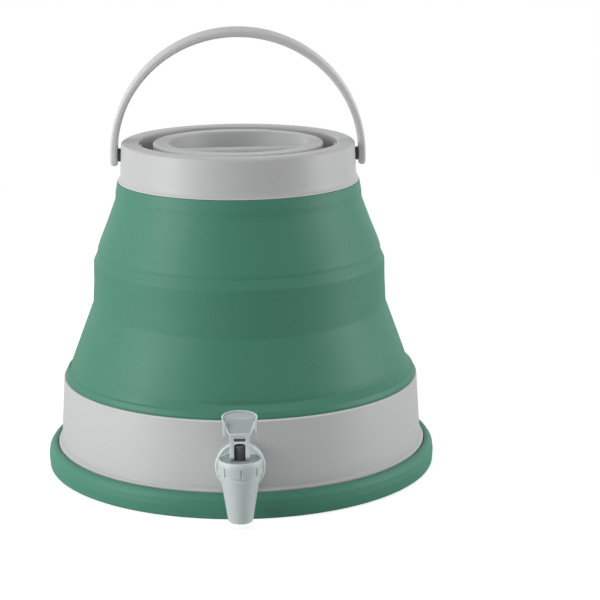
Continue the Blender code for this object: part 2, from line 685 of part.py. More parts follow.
def handle():
    """Half-round bail with round ends that turn on two pins. It leans a little towards the tap."""
    outer_radius = HANDLE_INNER_RADIUS + HANDLE_THICKNESS
    end = -HANDLE_WIDTH / 2
    turns = [math.pi * i / HANDLE_ARC_STEPS for i in range(HANDLE_ARC_STEPS + 1)]
    outside = [(outer_radius * math.cos(a), outer_radius * math.sin(a)) for a in turns]
    inner_radius = HANDLE_INNER_RADIUS
    inside = [(inner_radius * math.cos(a), inner_radius * math.sin(a)) for a in turns]
    outline = [(outer_radius, end), *outside, (-outer_radius, end)]
    outline += [(-HANDLE_INNER_RADIUS, end), *reversed(inside), (HANDLE_INNER_RADIUS, end)]
    bail = flat_plate("handle", outline, HANDLE_WIDTH, HANDLE_EDGE_ROUND)
    bail.data.transform(Matrix.Rotation(math.pi / 2, 4, "X"))

    half = HANDLE_WIDTH / 2
    top = outer_radius + OVERRUN
    arc = [math.pi + math.pi * i / SMALL_STEPS for i in range(SMALL_STEPS + 1)]
    stadium = [(half * math.cos(a), half * math.sin(a)) for a in arc] + [(half, top), (-half, top)]
    rounding = flat_plate("handle_end_shape", stadium, 2 * (outer_radius + OVERRUN))
    rounding.data.transform(Matrix.Rotation(math.pi / 2, 4, "Z") @ Matrix.Rotation(math.pi / 2, 4, "X"))
    place(rounding, (0, 0, PIVOT_HEIGHT))
    combine(bail, rounding, "INTERSECT")
    for side, word in ((-1, "left"), (1, "right")):
        hole = cylinder(
            "handle_hole_" + word, PIN_RADIUS + GAP,
            (side * (HANDLE_INNER_RADIUS - OVERRUN), 0, PIVOT_HEIGHT),
            (side * (HANDLE_INNER_RADIUS + PIN_ENTRY + GAP), 0, PIVOT_HEIGHT), PIN_STEPS,
        )
        combine(bail, hole, "DIFFERENCE")
    bail.data.transform(Matrix.Rotation(HANDLE_LEAN, 4, "X"))
    place(bail, (0, 0, PIVOT_HEIGHT))
    show(bail, grey)


def handle_pins():
    """At each end a headed pin runs from the groove through the collar into the handle, past a washer."""
    head = math.sqrt(GROOVE_RADIUS ** 2 - PIN_HEAD_RADIUS ** 2) - 2 * GAP
    tip = HANDLE_INNER_RADIUS + PIN_ENTRY
    wall = COLLAR_RADIUS - GAP
    for side, word in ((-1, "left"), (1, "right")):
        pin = turned("handle_pin_" + word, [
            (0, tip),
            (PIN_RADIUS, tip),
            (PIN_RADIUS, head),
            (PIN_HEAD_RADIUS, head),
            (PIN_HEAD_RADIUS, head - PIN_HEAD_HEIGHT),
            (0, head - PIN_HEAD_HEIGHT),
        ], PIN_HEAD_STEPS, closed=False)
        pin.rotation_euler.y = side * math.pi / 2
        show(place(pin, (0, 0, PIVOT_HEIGHT)), grey)
        washer = turned("handle_washer_" + word, [
            (WASHER_RADIUS, HANDLE_INNER_RADIUS - GAP),
            (WASHER_RADIUS, wall),
            (PIN_RADIUS + GAP, wall),
            (PIN_RADIUS + GAP, HANDLE_INNER_RADIUS - GAP),
        ], PIN_STEPS)
        washer.rotation_euler.y = side * math.pi / 2
        show(place(washer, (0, 0, PIVOT_HEIGHT)), dark)


def tap_body():
    """Spout and barrel in one moulding with the flange, and the shank that passes through the pad."""
    spout = rounded([
        (0, THREAD_TOP),
        (THREAD_RADIUS, THREAD_TOP),
        (THREAD_RADIUS, BARREL_TOP),
        (BARREL_RADIUS, BARREL_TOP),
        (SPOUT_RADIUS, SPOUT_BOTTOM, SPOUT_EDGE_ROUND),
        (0, SPOUT_BOTTOM),
    ])
    body = turned("tap_body", spout, SMALL_STEPS, closed=False)
    place(body, (0, -TAP_REACH, 0))

    neck_end = TAP_REACH - THREAD_RADIUS / 2
    shank = turned("tap_shank", [
        (0, neck_end),
        (TAP_NECK_RADIUS, neck_end),
        (TAP_NECK_RADIUS, FLANGE_FRONT),
        (FLANGE_RADIUS, FLANGE_FRONT),
        (FLANGE_RADIUS, FLANGE_BACK),
        (SHANK_RADIUS, FLANGE_BACK),
        (SHANK_RADIUS, SHANK_END),
        (0, SHANK_END),
    ], SMALL_STEPS, closed=False, axis="Y")
    place(shank, (0, 0, SHANK_HEIGHT))
    cap_room = cylinder(
        "cap_room", CAP_RADIUS + GAP, (0, -TAP_REACH, BARREL_TOP - GAP),
        (0, -TAP_REACH, CAP_TOP + OVERRUN), SMALL_STEPS,
    )
    combine(shank, cap_room, "DIFFERENCE")
    combine(body, shank, "UNION")

    seat_bottom = SEAT_TOP - SEAT_THICKNESS
    chamber = turned("tap_chamber", [
        (0, THREAD_TOP + OVERRUN),
        (CHAMBER_RADIUS, THREAD_TOP + OVERRUN),
        (CHAMBER_RADIUS, SEAT_TOP),
        (SEAT_HOLE_RADIUS, SEAT_TOP),
        (SEAT_HOLE_RADIUS, seat_bottom),
        (BARREL_BORE_RADIUS, seat_bottom),
        (SPOUT_BORE_RADIUS, SPOUT_BOTTOM - OVERRUN),
        (0, SPOUT_BOTTOM - OVERRUN),
    ], SMALL_STEPS, closed=False)
    place(chamber, (0, -TAP_REACH, 0))
    shank_bore = cylinder(
        "shank_bore", SHANK_BORE_RADIUS, (0, -FLANGE_FRONT - OVERRUN, SHANK_HEIGHT),
        (0, OVERRUN - SHANK_END, SHANK_HEIGHT), SMALL_STEPS,
    )
    waterway = cylinder(
        "waterway", WATERWAY_RADIUS, (0, -neck_end, WATERWAY_HEIGHT),
        (0, OVERRUN - FLANGE_BACK, WATERWAY_HEIGHT), SMALL_STEPS,
    )
    for cutter in (chamber, shank_bore, waterway):
        combine(body, cutter, "DIFFERENCE", solver="MANIFOLD")
    show(body, tap_grey)


def tap_fixings():
    """Gasket under the flange outside, gasket and nut inside the ring."""
    bore = SHANK_RADIUS + GAP
    outer_face = TAP_PAD_OUTER + GAP
    inner_face = TAP_PAD_INNER - GAP
    gaskets = (
        ("tap_outer_gasket", GASKET_RADIUS, outer_face + GASKET_THICKNESS),
        ("tap_inner_gasket", INNER_GASKET_RADIUS, inner_face),
    )
    for name, radius, front in gaskets:
        back = front - GASKET_THICKNESS
        section = [(radius, front), (radius, back), (bore, back), (bore, front)]
        gasket = turned(name, section, SMALL_STEPS, axis="Y")
        show(place(gasket, (0, 0, SHANK_HEIGHT)), silicone)

    front = inner_face - GASKET_THICKNESS - GAP
    collar_back = front - NUT_COLLAR_THICKNESS
    back = front - NUT_THICKNESS
    nut = turned("tap_nut", [
        (0, front),
        (NUT_COLLAR_RADIUS, front),
        (NUT_COLLAR_RADIUS, collar_back),
        (0, collar_back),
    ], SMALL_STEPS, closed=False, axis="Y")
    place(nut, (0, 0, SHANK_HEIGHT))
    corner_radius = NUT_WIDTH / math.sqrt(3)
    turns = [2 * math.pi * i / NUT_SIDES for i in range(NUT_SIDES)]
    corners = [(corner_radius * math.cos(turn), corner_radius * math.sin(turn)) for turn in turns]
    overlap = NUT_COLLAR_THICKNESS / 2
    flats = flat_plate("nut_flats", corners, NUT_THICKNESS - overlap)
    flats.data.transform(Matrix.Rotation(math.pi / 2, 4, "X"))
    place(flats, (0, -(back + (NUT_THICKNESS - overlap) / 2), SHANK_HEIGHT))
    bore_cut = cylinder(
        "nut_bore", bore, (0, -front - OVERRUN, SHANK_HEIGHT),
        (0, OVERRUN - back, SHANK_HEIGHT), SMALL_STEPS,
    )
    combine(nut, flats, "UNION")
    combine(nut, bore_cut, "DIFFERENCE")
    show(nut, tap_grey)


def tap_cap():
    """Screw cap over the valve, with grip grooves round it and a dished top that the lever works on."""
    foot = BARREL_TOP + GAP
    inside = THREAD_RADIUS + GAP
    stem_hole = STEM_RADIUS + GAP
    rim_inner = CAP_TOP_RADIUS - CAP_RIM_WIDTH
    cap = turned("tap_cap", rounded([
        (stem_hole, CAP_FACE),
        (rim_inner - CAP_RIM_HEIGHT, CAP_FACE),
        (rim_inner, CAP_TOP),
        (CAP_TOP_RADIUS, CAP_TOP, CAP_EDGE_ROUND / 2),
        (CAP_RADIUS, (CAP_TOP + foot) / 2),
        (CAP_RADIUS, foot),
        (inside, foot),
        (inside, CAP_UNDERSIDE),
        (stem_hole, CAP_UNDERSIDE),
    ]), SMALL_STEPS)
    place(cap, (0, -TAP_REACH, 0))
    for i in range(CAP_GROOVES):
        groove = block(
            f"cap_groove_{i}",
            (-CAP_GROOVE_WIDTH / 2, -CAP_RADIUS - OVERRUN, foot - OVERRUN),
            (CAP_GROOVE_WIDTH / 2, CAP_GROOVE_DEPTH - CAP_RADIUS, CAP_TOP - CAP_GROOVE_TOP_MARGIN),
        )
        groove.rotation_euler.z = 2 * math.pi * i / CAP_GROOVES
        place(groove, (0, -TAP_REACH, 0))
        combine(cap, groove, "DIFFERENCE")
    show(cap, tap_grey)


def tap_valve():
    """Silicone cup that closes the seat, and the dark stem that lifts it by the lever's cross pin."""
    plug_foot = SEAT_TOP + GAP
    plug_top = plug_foot + CUP_PLUG_HEIGHT
    socket = STEM_RADIUS + GAP
    socket_floor = plug_top + CUP_SOCKET_WALL
    socket_top = socket_floor + CUP_SOCKET_DEPTH
    flange_foot = THREAD_TOP + GAP
    flange_top = flange_foot + CUP_FLANGE_THICKNESS
    skirt = CUP_FLANGE_RADIUS - CUP_FLANGE_WIDTH
    cup = turned("tap_seat_cup", [
        (0, socket_floor),
        (socket, socket_floor),
        (socket, socket_top),
        (skirt - CUP_SOCKET_WALL, flange_top),
        (CUP_FLANGE_RADIUS, flange_top),
        (CUP_FLANGE_RADIUS, flange_foot),
        (skirt, flange_foot),
        (socket + CUP_SOCKET_WALL, socket_top),
        (socket + CUP_SOCKET_WALL, plug_top),
        (CUP_PLUG_RADIUS, plug_top),
        (CUP_PLUG_RADIUS, plug_foot),
        (0, plug_foot),
    ], SMALL_STEPS, closed=False)
    show(place(cup, (0, -TAP_REACH, 0)), silicone)

    stem = turned("tap_stem", rounded([
        (0, STEM_TOP),
        (STEM_RADIUS, STEM_TOP - STEM_DOME / 2, STEM_DOME),
        (STEM_RADIUS, socket_floor + GAP),
        (0, socket_floor + GAP),
    ]), SMALL_STEPS, closed=False)
    place(stem, (0, -TAP_REACH, 0))
    cross_hole = cylinder(
        "stem_cross_hole", LEVER_PIN_RADIUS + GAP,
        (-STEM_RADIUS - OVERRUN, -TAP_REACH, LEVER_PIN_HEIGHT),
        (STEM_RADIUS + OVERRUN, -TAP_REACH, LEVER_PIN_HEIGHT), SMALL_STEPS,
    )
    combine(stem, cross_hole, "DIFFERENCE")
    show(stem, dark)

    reach = STEM_RADIUS + GAP + CHEEK_THICKNESS
    pin = cylinder("lever_pin", LEVER_PIN_RADIUS, (-reach, 0, 0), (reach, 0, 0), SMALL_STEPS)
    show(place(pin, (0, -TAP_REACH, LEVER_PIN_HEIGHT)), tap_grey)


def cheek_outline():
    """Side view of an arm as (y, z) from the pin: a spiral heel that grows to the front, then the arm."""
    growth = LEVER_LIFT / LEVER_TRAVEL
    half = ARM_DEPTH / 2
    steps = SMALL_STEPS // 2
    heel = []
    for i in range(steps + 1):
        turn = LEVER_TRAVEL * (1 - i / steps)
        radius = HEEL_RADIUS + growth * turn
        heel.append((-radius * math.sin(turn), -radius * math.cos(turn)))
    back = math.pi / 2
    for i in range(1, steps + 1):
        turn = back * i / steps
        heel.append((HEEL_RADIUS * math.sin(turn), -HEEL_RADIUS * math.cos(turn)))
    return [*heel, (half, HEEL_RADIUS), (half, ARM_RISE), (-half, ARM_RISE), (-half, HEEL_RADIUS)]


def paddle_outline(inset):
    """Thumb paddle in its own plane: narrow at its foot, with widening sides and an elliptical crown."""
    half = PADDLE_WIDTH / 2 - inset
    length = PADDLE_LENGTH - 2 * inset
    right = [(half * across, inset + length * along) for across, along in PADDLE_SIDE_SHARES]
    crown_foot = PADDLE_CROWN_SHARE
    steps = SMALL_STEPS // 2
    for i in range(steps):
        turn = math.pi / 2 * i / steps
        along = crown_foot + (1 - crown_foot) * math.sin(turn)
        right.append((half * math.cos(turn), inset + length * along))
    top = [(0, inset + length)]
    left = [(-x, y) for x, y in reversed(right)]
    return right + top + left


def tap_lever():
    """Lever in one moulding: two arms with cam heels, a bridge, and a rimmed thumb paddle that leans back."""
    inner = STEM_RADIUS + GAP
    outer = inner + CHEEK_THICKNESS
    to_side = Matrix.Rotation(math.pi / 2, 4, "Z") @ Matrix.Rotation(math.pi / 2, 4, "X")
    cheeks = []
    for side, word in ((1, "right"), (-1, "left")):
        cheek = flat_plate("cheek_" + word, cheek_outline(), CHEEK_THICKNESS)
        middle = Matrix.Translation((side * (inner + outer) / 2, 0, 0))
        cheek.data.transform(middle @ to_side)
        cheeks.append(cheek)
    lever = cheeks[0]
    lever.name = "tap_lever"
    at_pin = Vector((0, -TAP_REACH, LEVER_PIN_HEIGHT))
    place(lever, at_pin)
    place(cheeks[1], at_pin)
    combine(lever, cheeks[1], "UNION")

    half = ARM_DEPTH / 2
    bridge = block(
        "lever_bridge",
        (-(inner + outer) / 2, -half, ARM_RISE - BRIDGE_HEIGHT),
        ((inner + outer) / 2, half, ARM_RISE),
    )
    combine(lever, place(bridge, at_pin), "UNION")

    stand = Matrix.Rotation(math.pi / 2 - PADDLE_LEAN, 4, "X")
    foot = Matrix.Translation((0, -half + PADDLE_THICKNESS / 2, ARM_RISE))
    paddle = flat_plate("paddle", paddle_outline(0), PADDLE_THICKNESS)
    paddle.data.transform(foot @ stand)
    combine(lever, place(paddle, at_pin), "UNION")
    hollow = flat_plate("paddle_hollow", paddle_outline(PADDLE_RIM_WIDTH), PADDLE_RIM_HEIGHT + OVERRUN)
    lift = PADDLE_THICKNESS / 2 - PADDLE_RIM_HEIGHT + (PADDLE_RIM_HEIGHT + OVERRUN) / 2
    hollow.data.transform(foot @ stand @ Matrix.Translation((0, 0, lift)))
    for side, word in ((-1, "left"), (1, "right")):
        at = TAB_RISE * math.tan(PADDLE_LEAN) - half
        centre = side * TAB_SPACING / 2
        tab = block(
            "paddle_tab_" + word,
            (centre - TAB_WIDTH / 2, at, ARM_RISE - TAB_DROP),
            (centre + TAB_WIDTH / 2, at + TAB_DEPTH, ARM_RISE + TAB_RISE),
        )
        combine(lever, place(tab, at_pin), "UNION")
    combine(lever, place(hollow, at_pin), "DIFFERENCE")
    pin_hole = cylinder(
        "lever_pin_hole", LEVER_PIN_RADIUS + GAP, (-outer - OVERRUN, 0, 0),
        (outer + OVERRUN, 0, 0), SMALL_STEPS,
    )
    combine(lever, place(pin_hole, at_pin), "DIFFERENCE")
    show(lever, tap_grey)


base_tray()
lower_ring()
bellows()
collar()
groove_floor()
neck()
lid()
handle()
handle_pins()
tap_body()
tap_fixings()
tap_cap()
tap_valve()
tap_lever()
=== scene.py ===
# %% [markdown]
# # A folding water carrier, dressed for its studio picture
# The imported CAD model is the frame: every piece made here sits where its solid says, and all but
# the two shells of the folding body ride on the same body. The file goes from the camera to the
# light, then from the biggest pieces to the smallest.
# Shapes are worked out as numpy arrays, because a carrier is mostly outlines carried round an axis,
# and a formula for an outline is easier to correct than a sculpted mesh.

# %% Load the frame
import math

import bmesh
import bpy
import numpy as np
from mathutils import Matrix, Vector


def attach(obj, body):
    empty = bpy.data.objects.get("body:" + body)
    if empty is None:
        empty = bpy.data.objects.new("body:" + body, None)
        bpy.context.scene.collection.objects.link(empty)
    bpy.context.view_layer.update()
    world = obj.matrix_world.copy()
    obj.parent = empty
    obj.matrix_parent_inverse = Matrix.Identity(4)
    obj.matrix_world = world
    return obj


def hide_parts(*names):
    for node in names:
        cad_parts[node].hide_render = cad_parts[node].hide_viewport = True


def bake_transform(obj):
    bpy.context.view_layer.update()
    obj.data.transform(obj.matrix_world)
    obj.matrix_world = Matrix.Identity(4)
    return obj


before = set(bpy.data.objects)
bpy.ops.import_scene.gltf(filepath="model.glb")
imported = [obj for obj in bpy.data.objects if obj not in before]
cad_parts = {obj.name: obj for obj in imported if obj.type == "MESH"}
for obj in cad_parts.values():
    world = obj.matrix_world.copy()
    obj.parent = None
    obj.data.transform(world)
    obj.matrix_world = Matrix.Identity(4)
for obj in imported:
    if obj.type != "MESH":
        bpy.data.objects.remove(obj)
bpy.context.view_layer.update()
MM = 0.001

# %% [markdown]
# ## Camera
# The photograph was taken with a long lens, a little above the lid. A fitted camera gives its place,
# and a focal length of 1975 pixels on a picture 600 pixels wide becomes millimetres on a 36 mm sensor.
# The small turn and roll put the carrier left of the middle, as it stands in the photograph, and the
# camera stands half a degree round to the right, which is seen from where the tap lies.

# %% Camera
PICTURE_SIZE = 600
FOCAL_PIXELS = 1975
SENSOR = 36
CAMERA_DISTANCE, CAMERA_HEIGHT = 1.5856, 0.5119
CAMERA_ROUND = 0.0082
CAMERA_PITCH = 0.23407
CAMERA_YAW = 0.03123
CAMERA_ROLL = -0.00485

camera_data = bpy.data.cameras.new("studio_camera")
camera_data.sensor_width = SENSOR
camera_data.lens = SENSOR * FOCAL_PIXELS / PICTURE_SIZE
camera = bpy.data.objects.new("studio_camera", camera_data)
bpy.context.scene.collection.objects.link(camera)
turn = Matrix.Rotation(-CAMERA_YAW, 4, "Z") @ Matrix.Rotation(math.pi / 2 - CAMERA_PITCH, 4, "X")
place = Matrix.Rotation(CAMERA_ROUND, 4, "Z") @ Matrix.Translation((0, -CAMERA_DISTANCE, CAMERA_HEIGHT))
camera.matrix_world = place @ turn @ Matrix.Rotation(CAMERA_ROLL, 4, "Z")
bpy.context.scene.camera = camera
bpy.context.scene.view_settings.view_transform = "Standard"
print("lens:", round(camera_data.lens, 1), "mm")

# %% [markdown]
# ## Surfaces from grids
# A surface is a grid of points: each row joins the next row, and each row's last point joins its
# first. Two helpers make nearly everything here. One rounds the corners of an outline, and one joins
# a grid into faces. Points that fall together, such as those on an axis, are merged at the end, so
# poles close by themselves.
#
# A point has a fourth number besides x, y and z, its painted light, which the materials read. It is
# near 1 on edges, as a painted highlight where a small rounding would catch the light. A broad face
# has a little of it as painted light, or less than none as painted shade, where the studio's light is
# uneven.

# %% Grid tools
MERGE_DISTANCE = 1e-6
CREASE_ANGLE = math.radians(38)
# The point attribute that holds each point's painted light.
PAINTED_LIGHT_ATTRIBUTE = "painted_light_amount"
SUPPORT_SHARE, SUPPORT_LEAST, SUPPORT_ROOM = 0.3, 0.05, 0.4


def soften(corners, steps=8):
    """Rounds a closed outline of corners (x, y, radius, painted light) given in millimetres.

    Each arc's centre lies on the corner's bisector, at radius / sin(half the corner's angle). The arc
    swings its first spoke onto its last at an even rate. One more point beyond each end of the arc,
    where the side has room for it, keeps the smooth shading off the flats. The result's rows are
    (x, y, painted light) in metres; the support points get no painted light.
    """
    corners = np.array([(*corner, 0)[:4] for corner in corners], float)
    here, radius, light = corners[:, :2], corners[:, 2:3], corners[:, 3:4]
    back = np.roll(here, 1, axis=0) - here
    on = np.roll(here, -1, axis=0) - here
    length = np.linalg.norm(on, axis=1, keepdims=True)
    back /= np.roll(length, 1, axis=0)
    on /= length
    half = np.arccos(np.clip((back * on).sum(axis=1, keepdims=True), -1, 1)) / 2
    reach = radius / np.tan(half)
    room = SUPPORT_ROOM * np.maximum(length - reach - np.roll(reach, -1, axis=0), 0)
    support = np.where(radius > 0, SUPPORT_SHARE * reach + SUPPORT_LEAST, 0)
    bisector = back + on
    bisector /= np.maximum(np.linalg.norm(bisector, axis=1, keepdims=True), 1e-12)
    centre = here + bisector * radius / np.sin(half)
    first, last = here + back * reach - centre, here + on * reach - centre
    sweep = (np.pi - 2 * half)[:, :, None]
    share = np.linspace(0, 1, steps + 1)[None, :, None]
    scale = 1 / np.maximum(np.sin(sweep), 1e-9)
    swung = np.sin((1 - share) * sweep) * first[:, None] + np.sin(share * sweep) * last[:, None]
    arc = centre[:, None] + scale * swung
    before = here + back * (reach + np.minimum(support, np.roll(room, 1, axis=0)))
    after = here + on * (reach + np.minimum(support, room))
    points = np.concatenate([before[:, None], arc, after[:, None]], axis=1).reshape(-1, 2) * MM
    # Each arc carries its corner's painted light: a painted highlight above zero, painted shade below.
    painted_shine = np.repeat(light, steps + 3, axis=1)
    painted_shine[:, [0, -1]] = 0
    outline = np.column_stack([points, painted_shine.ravel()])
    apart = np.linalg.norm(points - np.roll(points, 1, axis=0), axis=1) > 1e-8
    return outline[apart]


def grid_of(x, y, z, light=0.0):
    """One array (rows, columns, 4) from four arrays or numbers that fit together."""
    return np.stack(np.broadcast_arrays(x, y, z, light), axis=-1)


def skin(grid, ends="open"):
    """Faces over a grid (rows, columns, 4): four corners each, wrapped round the columns.

    With ends "ring" the last row joins the first. With "caps" a flat face closes either end.
    """
    rows, columns = grid.shape[:2]
    index = np.arange(rows * columns).reshape(rows, columns)
    lower = index if ends == "ring" else index[:-1]
    upper = np.roll(index, -1, axis=0) if ends == "ring" else index[1:]
    beside = np.roll(lower, -1, axis=1), np.roll(upper, -1, axis=1)
    faces = np.stack([lower, beside[0], beside[1], upper], axis=-1).reshape(-1, 4).tolist()
    if ends == "caps":
        faces += [index[0, ::-1].tolist(), index[-1].tolist()]
    return grid.reshape(-1, 4), faces


def moved(surface, matrix):
    """The surface with its points p at R p + t, where R and t are the matrix's turn and shift."""
    points, faces = surface
    matrix = np.array(matrix)
    places = points[:, :3] @ matrix[:3, :3].T + matrix[:3, 3]
    return np.column_stack([places, points[:, 3]]), faces


def paint_light(surface, light):
    """The surface with its painted light raised by the same amount everywhere."""
    points, faces = surface
    return points + (0, 0, 0, light), faces


def paint_light_round(surface, table, chosen=1.0):
    """The surface with painted light read off a table by x / r, each point's place round the axis.

    chosen is 1 where the light goes and 0 elsewhere.
    """
    points, faces = surface
    radius = np.hypot(points[:, 0], points[:, 1])
    light = chosen * np.interp(points[:, 0] / np.maximum(radius, MM), *table.T)
    return points + light[:, None] * (0, 0, 0, 1), faces


def build(name, surfaces):
    """One mesh object from several closed surfaces, each merged and turned outwards by itself."""
    whole = bmesh.new()
    for points, faces in surfaces:
        part = bpy.data.meshes.new("part")
        part.from_pydata(points[:, :3], [], faces)
        light = part.attributes.new(PAINTED_LIGHT_ATTRIBUTE, "FLOAT", "POINT")
        light.data.foreach_set("value", points[:, 3].astype(np.float32))
        work = bmesh.new()
        work.from_mesh(part)
        bmesh.ops.remove_doubles(work, verts=work.verts, dist=MERGE_DISTANCE)
        bmesh.ops.dissolve_degenerate(work, edges=work.edges, dist=MERGE_DISTANCE)
        bmesh.ops.recalc_face_normals(work, faces=work.faces)
        work.to_mesh(part)
        work.free()
        whole.from_mesh(part)
        bpy.data.meshes.remove(part)
    mesh = bpy.data.meshes.new(name)
    whole.to_mesh(mesh)
    whole.free()
    mesh.shade_smooth()
    mesh.set_sharp_from_angle(angle=CREASE_ANGLE)
    obj = bpy.data.objects.new(name, mesh)
    bpy.context.scene.collection.objects.link(obj)
    print(name, len(mesh.polygons), "faces")
    return obj


# %% [markdown]
# ## Turned and flat pieces
# A Screw or Spin would also turn an outline, but here the turn is an array product, so the same
# function can press grooves into the surface as it turns. Flat pieces are an outline with a rolled
# edge: the outline is drawn in along its own normals while it climbs a quarter circle.

# %% Turned and flat surfaces
TURN_STEPS = 288
SMALL_TURN_STEPS = 128
PIN_TURN_STEPS = 48


def turned(outline, steps=TURN_STEPS, dent=None):
    """Surface of revolution: the outline's (r, z) lies at (r cos a, r sin a, z) at each turn a.

    steps is a number of even turns, or the turns themselves. dent gives, for all r, z and a, how far
    the surface is pressed towards the axis. An outline that starts and ends on the axis is left open
    there, because both its poles close by merging.
    """
    if np.ndim(steps) == 0:
        steps = np.linspace(0, 2 * np.pi, steps, endpoint=False)
    radius, height = outline[:, :1] + 0 * steps, outline[:, 1:2] + 0 * steps
    if dent is not None:
        radius = radius - dent(radius, height, steps)
    poles = outline[0, 0] < MERGE_DISTANCE and outline[-1, 0] < MERGE_DISTANCE
    grid = grid_of(radius * np.cos(steps), radius * np.sin(steps), height, outline[:, 2:3])
    return skin(grid, "open" if poles else "ring")


def inset(outline, depth):
    """A closed outline, drawn anticlockwise, moved inwards along the normal of its local tangent."""
    tangent = np.roll(outline, -1, axis=0) - np.roll(outline, 1, axis=0)
    tangent /= np.linalg.norm(tangent, axis=1, keepdims=True)
    return outline + depth * np.stack([-tangent[:, 1], tangent[:, 0]], axis=1)


def rolled(thickness, edge, light=0.0, steps=5):
    """Rows (inset, height, painted light) of a plate's side: quarter circle, flat, quarter circle."""
    angle = np.linspace(0, np.pi / 2, steps + 1)
    # The painted light peaks halfway round each quarter circle, as a painted highlight on the rounding.
    upper = np.column_stack([edge * (1 - np.cos(angle)), thickness / 2 - edge + edge * np.sin(angle),
                             light * np.sin(2 * angle)])
    return np.concatenate([(upper * (1, -1, 1))[::-1], upper])


def plate(outline, thickness, edge, light=0.0):
    """A flat plate round z = 0: the outline at each row's inset and height, with flat caps."""
    # Each row carries its painted highlight from the rolled edge.
    rows = [grid_of(*inset(outline[:, :2], depth).T, z, painted_shine)
            for depth, z, painted_shine in rolled(thickness, edge, light)]
    return skin(np.stack(rows), "caps")


def rounded_box(low, high, edge, light=0.0):
    """A block between two corners in millimetres, with all its edges rolled."""
    low, high = np.array(low, float), np.array(high, float)
    half = (high - low) / 2
    corners = [(-half[0], -half[1]), (half[0], -half[1]), (half[0], half[1]), (-half[0], half[1])]
    outline = soften([(x, y, edge) for x, y in corners], steps=4)
    middle = Matrix.Translation(((low + high) / 2 * MM).tolist())
    return moved(plate(outline, 2 * half[2] * MM, edge * MM, light), middle)


print("a turned surface has", TURN_STEPS, "steps, a small one", SMALL_TURN_STEPS)

# %% [markdown]
# ## Finishes
# The drift group also multiplies in the painted light of each point: painted highlights and painted
# shade.
# The carrier has five materials: green silicone, warm grey moulded plastic, the cooler and glossier
# plastic of the tap, a dark plastic and clear silicone. The handle has the warm grey with hardly any
# grain, because its mould is smoother for the hand. All are moulded, so they share two effects,
# made once as node groups. One is the fine grain of a spark-eroded mould, a height for the Bump
# node. The other is the slow drift of tone that a large moulding shows, which multiplies its colour.
# The shader and its plain numbers stay in each material.

# %% Node groups
def new_group(name, inputs, outputs):
    """An empty node group with its sockets, and its start and end nodes."""
    group = bpy.data.node_groups.new(name, "ShaderNodeTree")
    for label, kind, value in inputs:
        socket = group.interface.new_socket(label, in_out="INPUT", socket_type=kind)
        socket.default_value = value
    for label, kind in outputs:
        group.interface.new_socket(label, in_out="OUTPUT", socket_type=kind)
    return group, group.nodes.new("NodeGroupInput"), group.nodes.new("NodeGroupOutput")


def noise(tree, vector, detail, roughness=0.5):
    """A noise texture read at the vector; its scale is linked or set afterwards."""
    node = tree.nodes.new("ShaderNodeTexNoise")
    node.inputs["Detail"].default_value = detail
    node.inputs["Roughness"].default_value = roughness
    tree.links.new(vector, node.inputs["Vector"])
    return node


def calculate(tree, operation, first, second):
    """A Math node: each of its two inputs is a socket or a number."""
    node = tree.nodes.new("ShaderNodeMath")
    node.operation = operation
    for socket, value in zip(node.inputs, (first, second)):
        if isinstance(value, bpy.types.NodeSocket):
            tree.links.new(value, socket)
        else:
            socket.default_value = value
    return node.outputs["Value"]


def make_grain_group():
    """Height = fine noise + waves x slow noise: the mould's grain on a faintly uneven surface."""
    inputs = [("Vector", "NodeSocketVector", (0, 0, 0)), ("Grain Scale", "NodeSocketFloat", 900),
              ("Wave Scale", "NodeSocketFloat", 22), ("Waves", "NodeSocketFloat", 1)]
    group, start, end = new_group("moulded_grain", inputs, [("Height", "NodeSocketFloat")])
    fine = noise(group, start.outputs["Vector"], detail=3.0)
    slow = noise(group, start.outputs["Vector"], detail=1.0)
    group.links.new(start.outputs["Grain Scale"], fine.inputs["Scale"])
    group.links.new(start.outputs["Wave Scale"], slow.inputs["Scale"])
    waves = calculate(group, "MULTIPLY", slow.outputs["Fac"], start.outputs["Waves"])
    height = calculate(group, "ADD", fine.outputs["Fac"], waves)
    group.links.new(height, end.inputs["Height"])
    return group


def make_drift_and_light_group():
    """Colour x (1 + drift x (slow noise - 1/2) x 2 + gain x painted light).

    So the tone wanders slowly, and the painted light adds painted highlights and painted shade.
    """
    inputs = [("Vector", "NodeSocketVector", (0, 0, 0)), ("Color", "NodeSocketColor", (1, 1, 1, 1)),
              ("Scale", "NodeSocketFloat", 9), ("Drift", "NodeSocketFloat", 0.04),
              ("Painted Light", "NodeSocketFloat", 0), ("Paint Gain", "NodeSocketFloat", 0.5)]
    group, start, end = new_group("tone_drift_and_painted_light", inputs, [("Color", "NodeSocketColor")])
    slow = noise(group, start.outputs["Vector"], detail=4.0, roughness=0.6)
    group.links.new(start.outputs["Scale"], slow.inputs["Scale"])
    centred = calculate(group, "SUBTRACT", slow.outputs["Fac"], 0.5)
    doubled = calculate(group, "MULTIPLY", centred, 2.0)
    share = calculate(group, "MULTIPLY", doubled, start.outputs["Drift"])
    factor = calculate(group, "ADD", share, 1.0)
    # Painted light: the attribute times its gain, a painted highlight above zero and painted shade
    # below.
    painted_lift = calculate(group, "MULTIPLY", start.outputs["Painted Light"], start.outputs["Paint Gain"])
    factor = calculate(group, "ADD", factor, painted_lift)
    scaled = group.nodes.new("ShaderNodeVectorMath")
    scaled.operation = "SCALE"
    group.links.new(start.outputs["Color"], scaled.inputs["Vector"])
    group.links.new(factor, scaled.inputs["Scale"])
    group.links.new(scaled.outputs["Vector"], end.inputs["Color"])
    return group


GRAIN = make_grain_group()
DRIFT_AND_PAINTED_LIGHT = make_drift_and_light_group()
print("node groups:", GRAIN.name, DRIFT_AND_PAINTED_LIGHT.name)


# %% Materials
RELIEF_DEPTH = 0.1
GRAIN_LOW, GRAIN_HIGH = 0.3, 1.7
SMOOTHER, ROUGHER = 0.04, 0.06
WARM_GREY = (0.540, 0.545, 0.546)


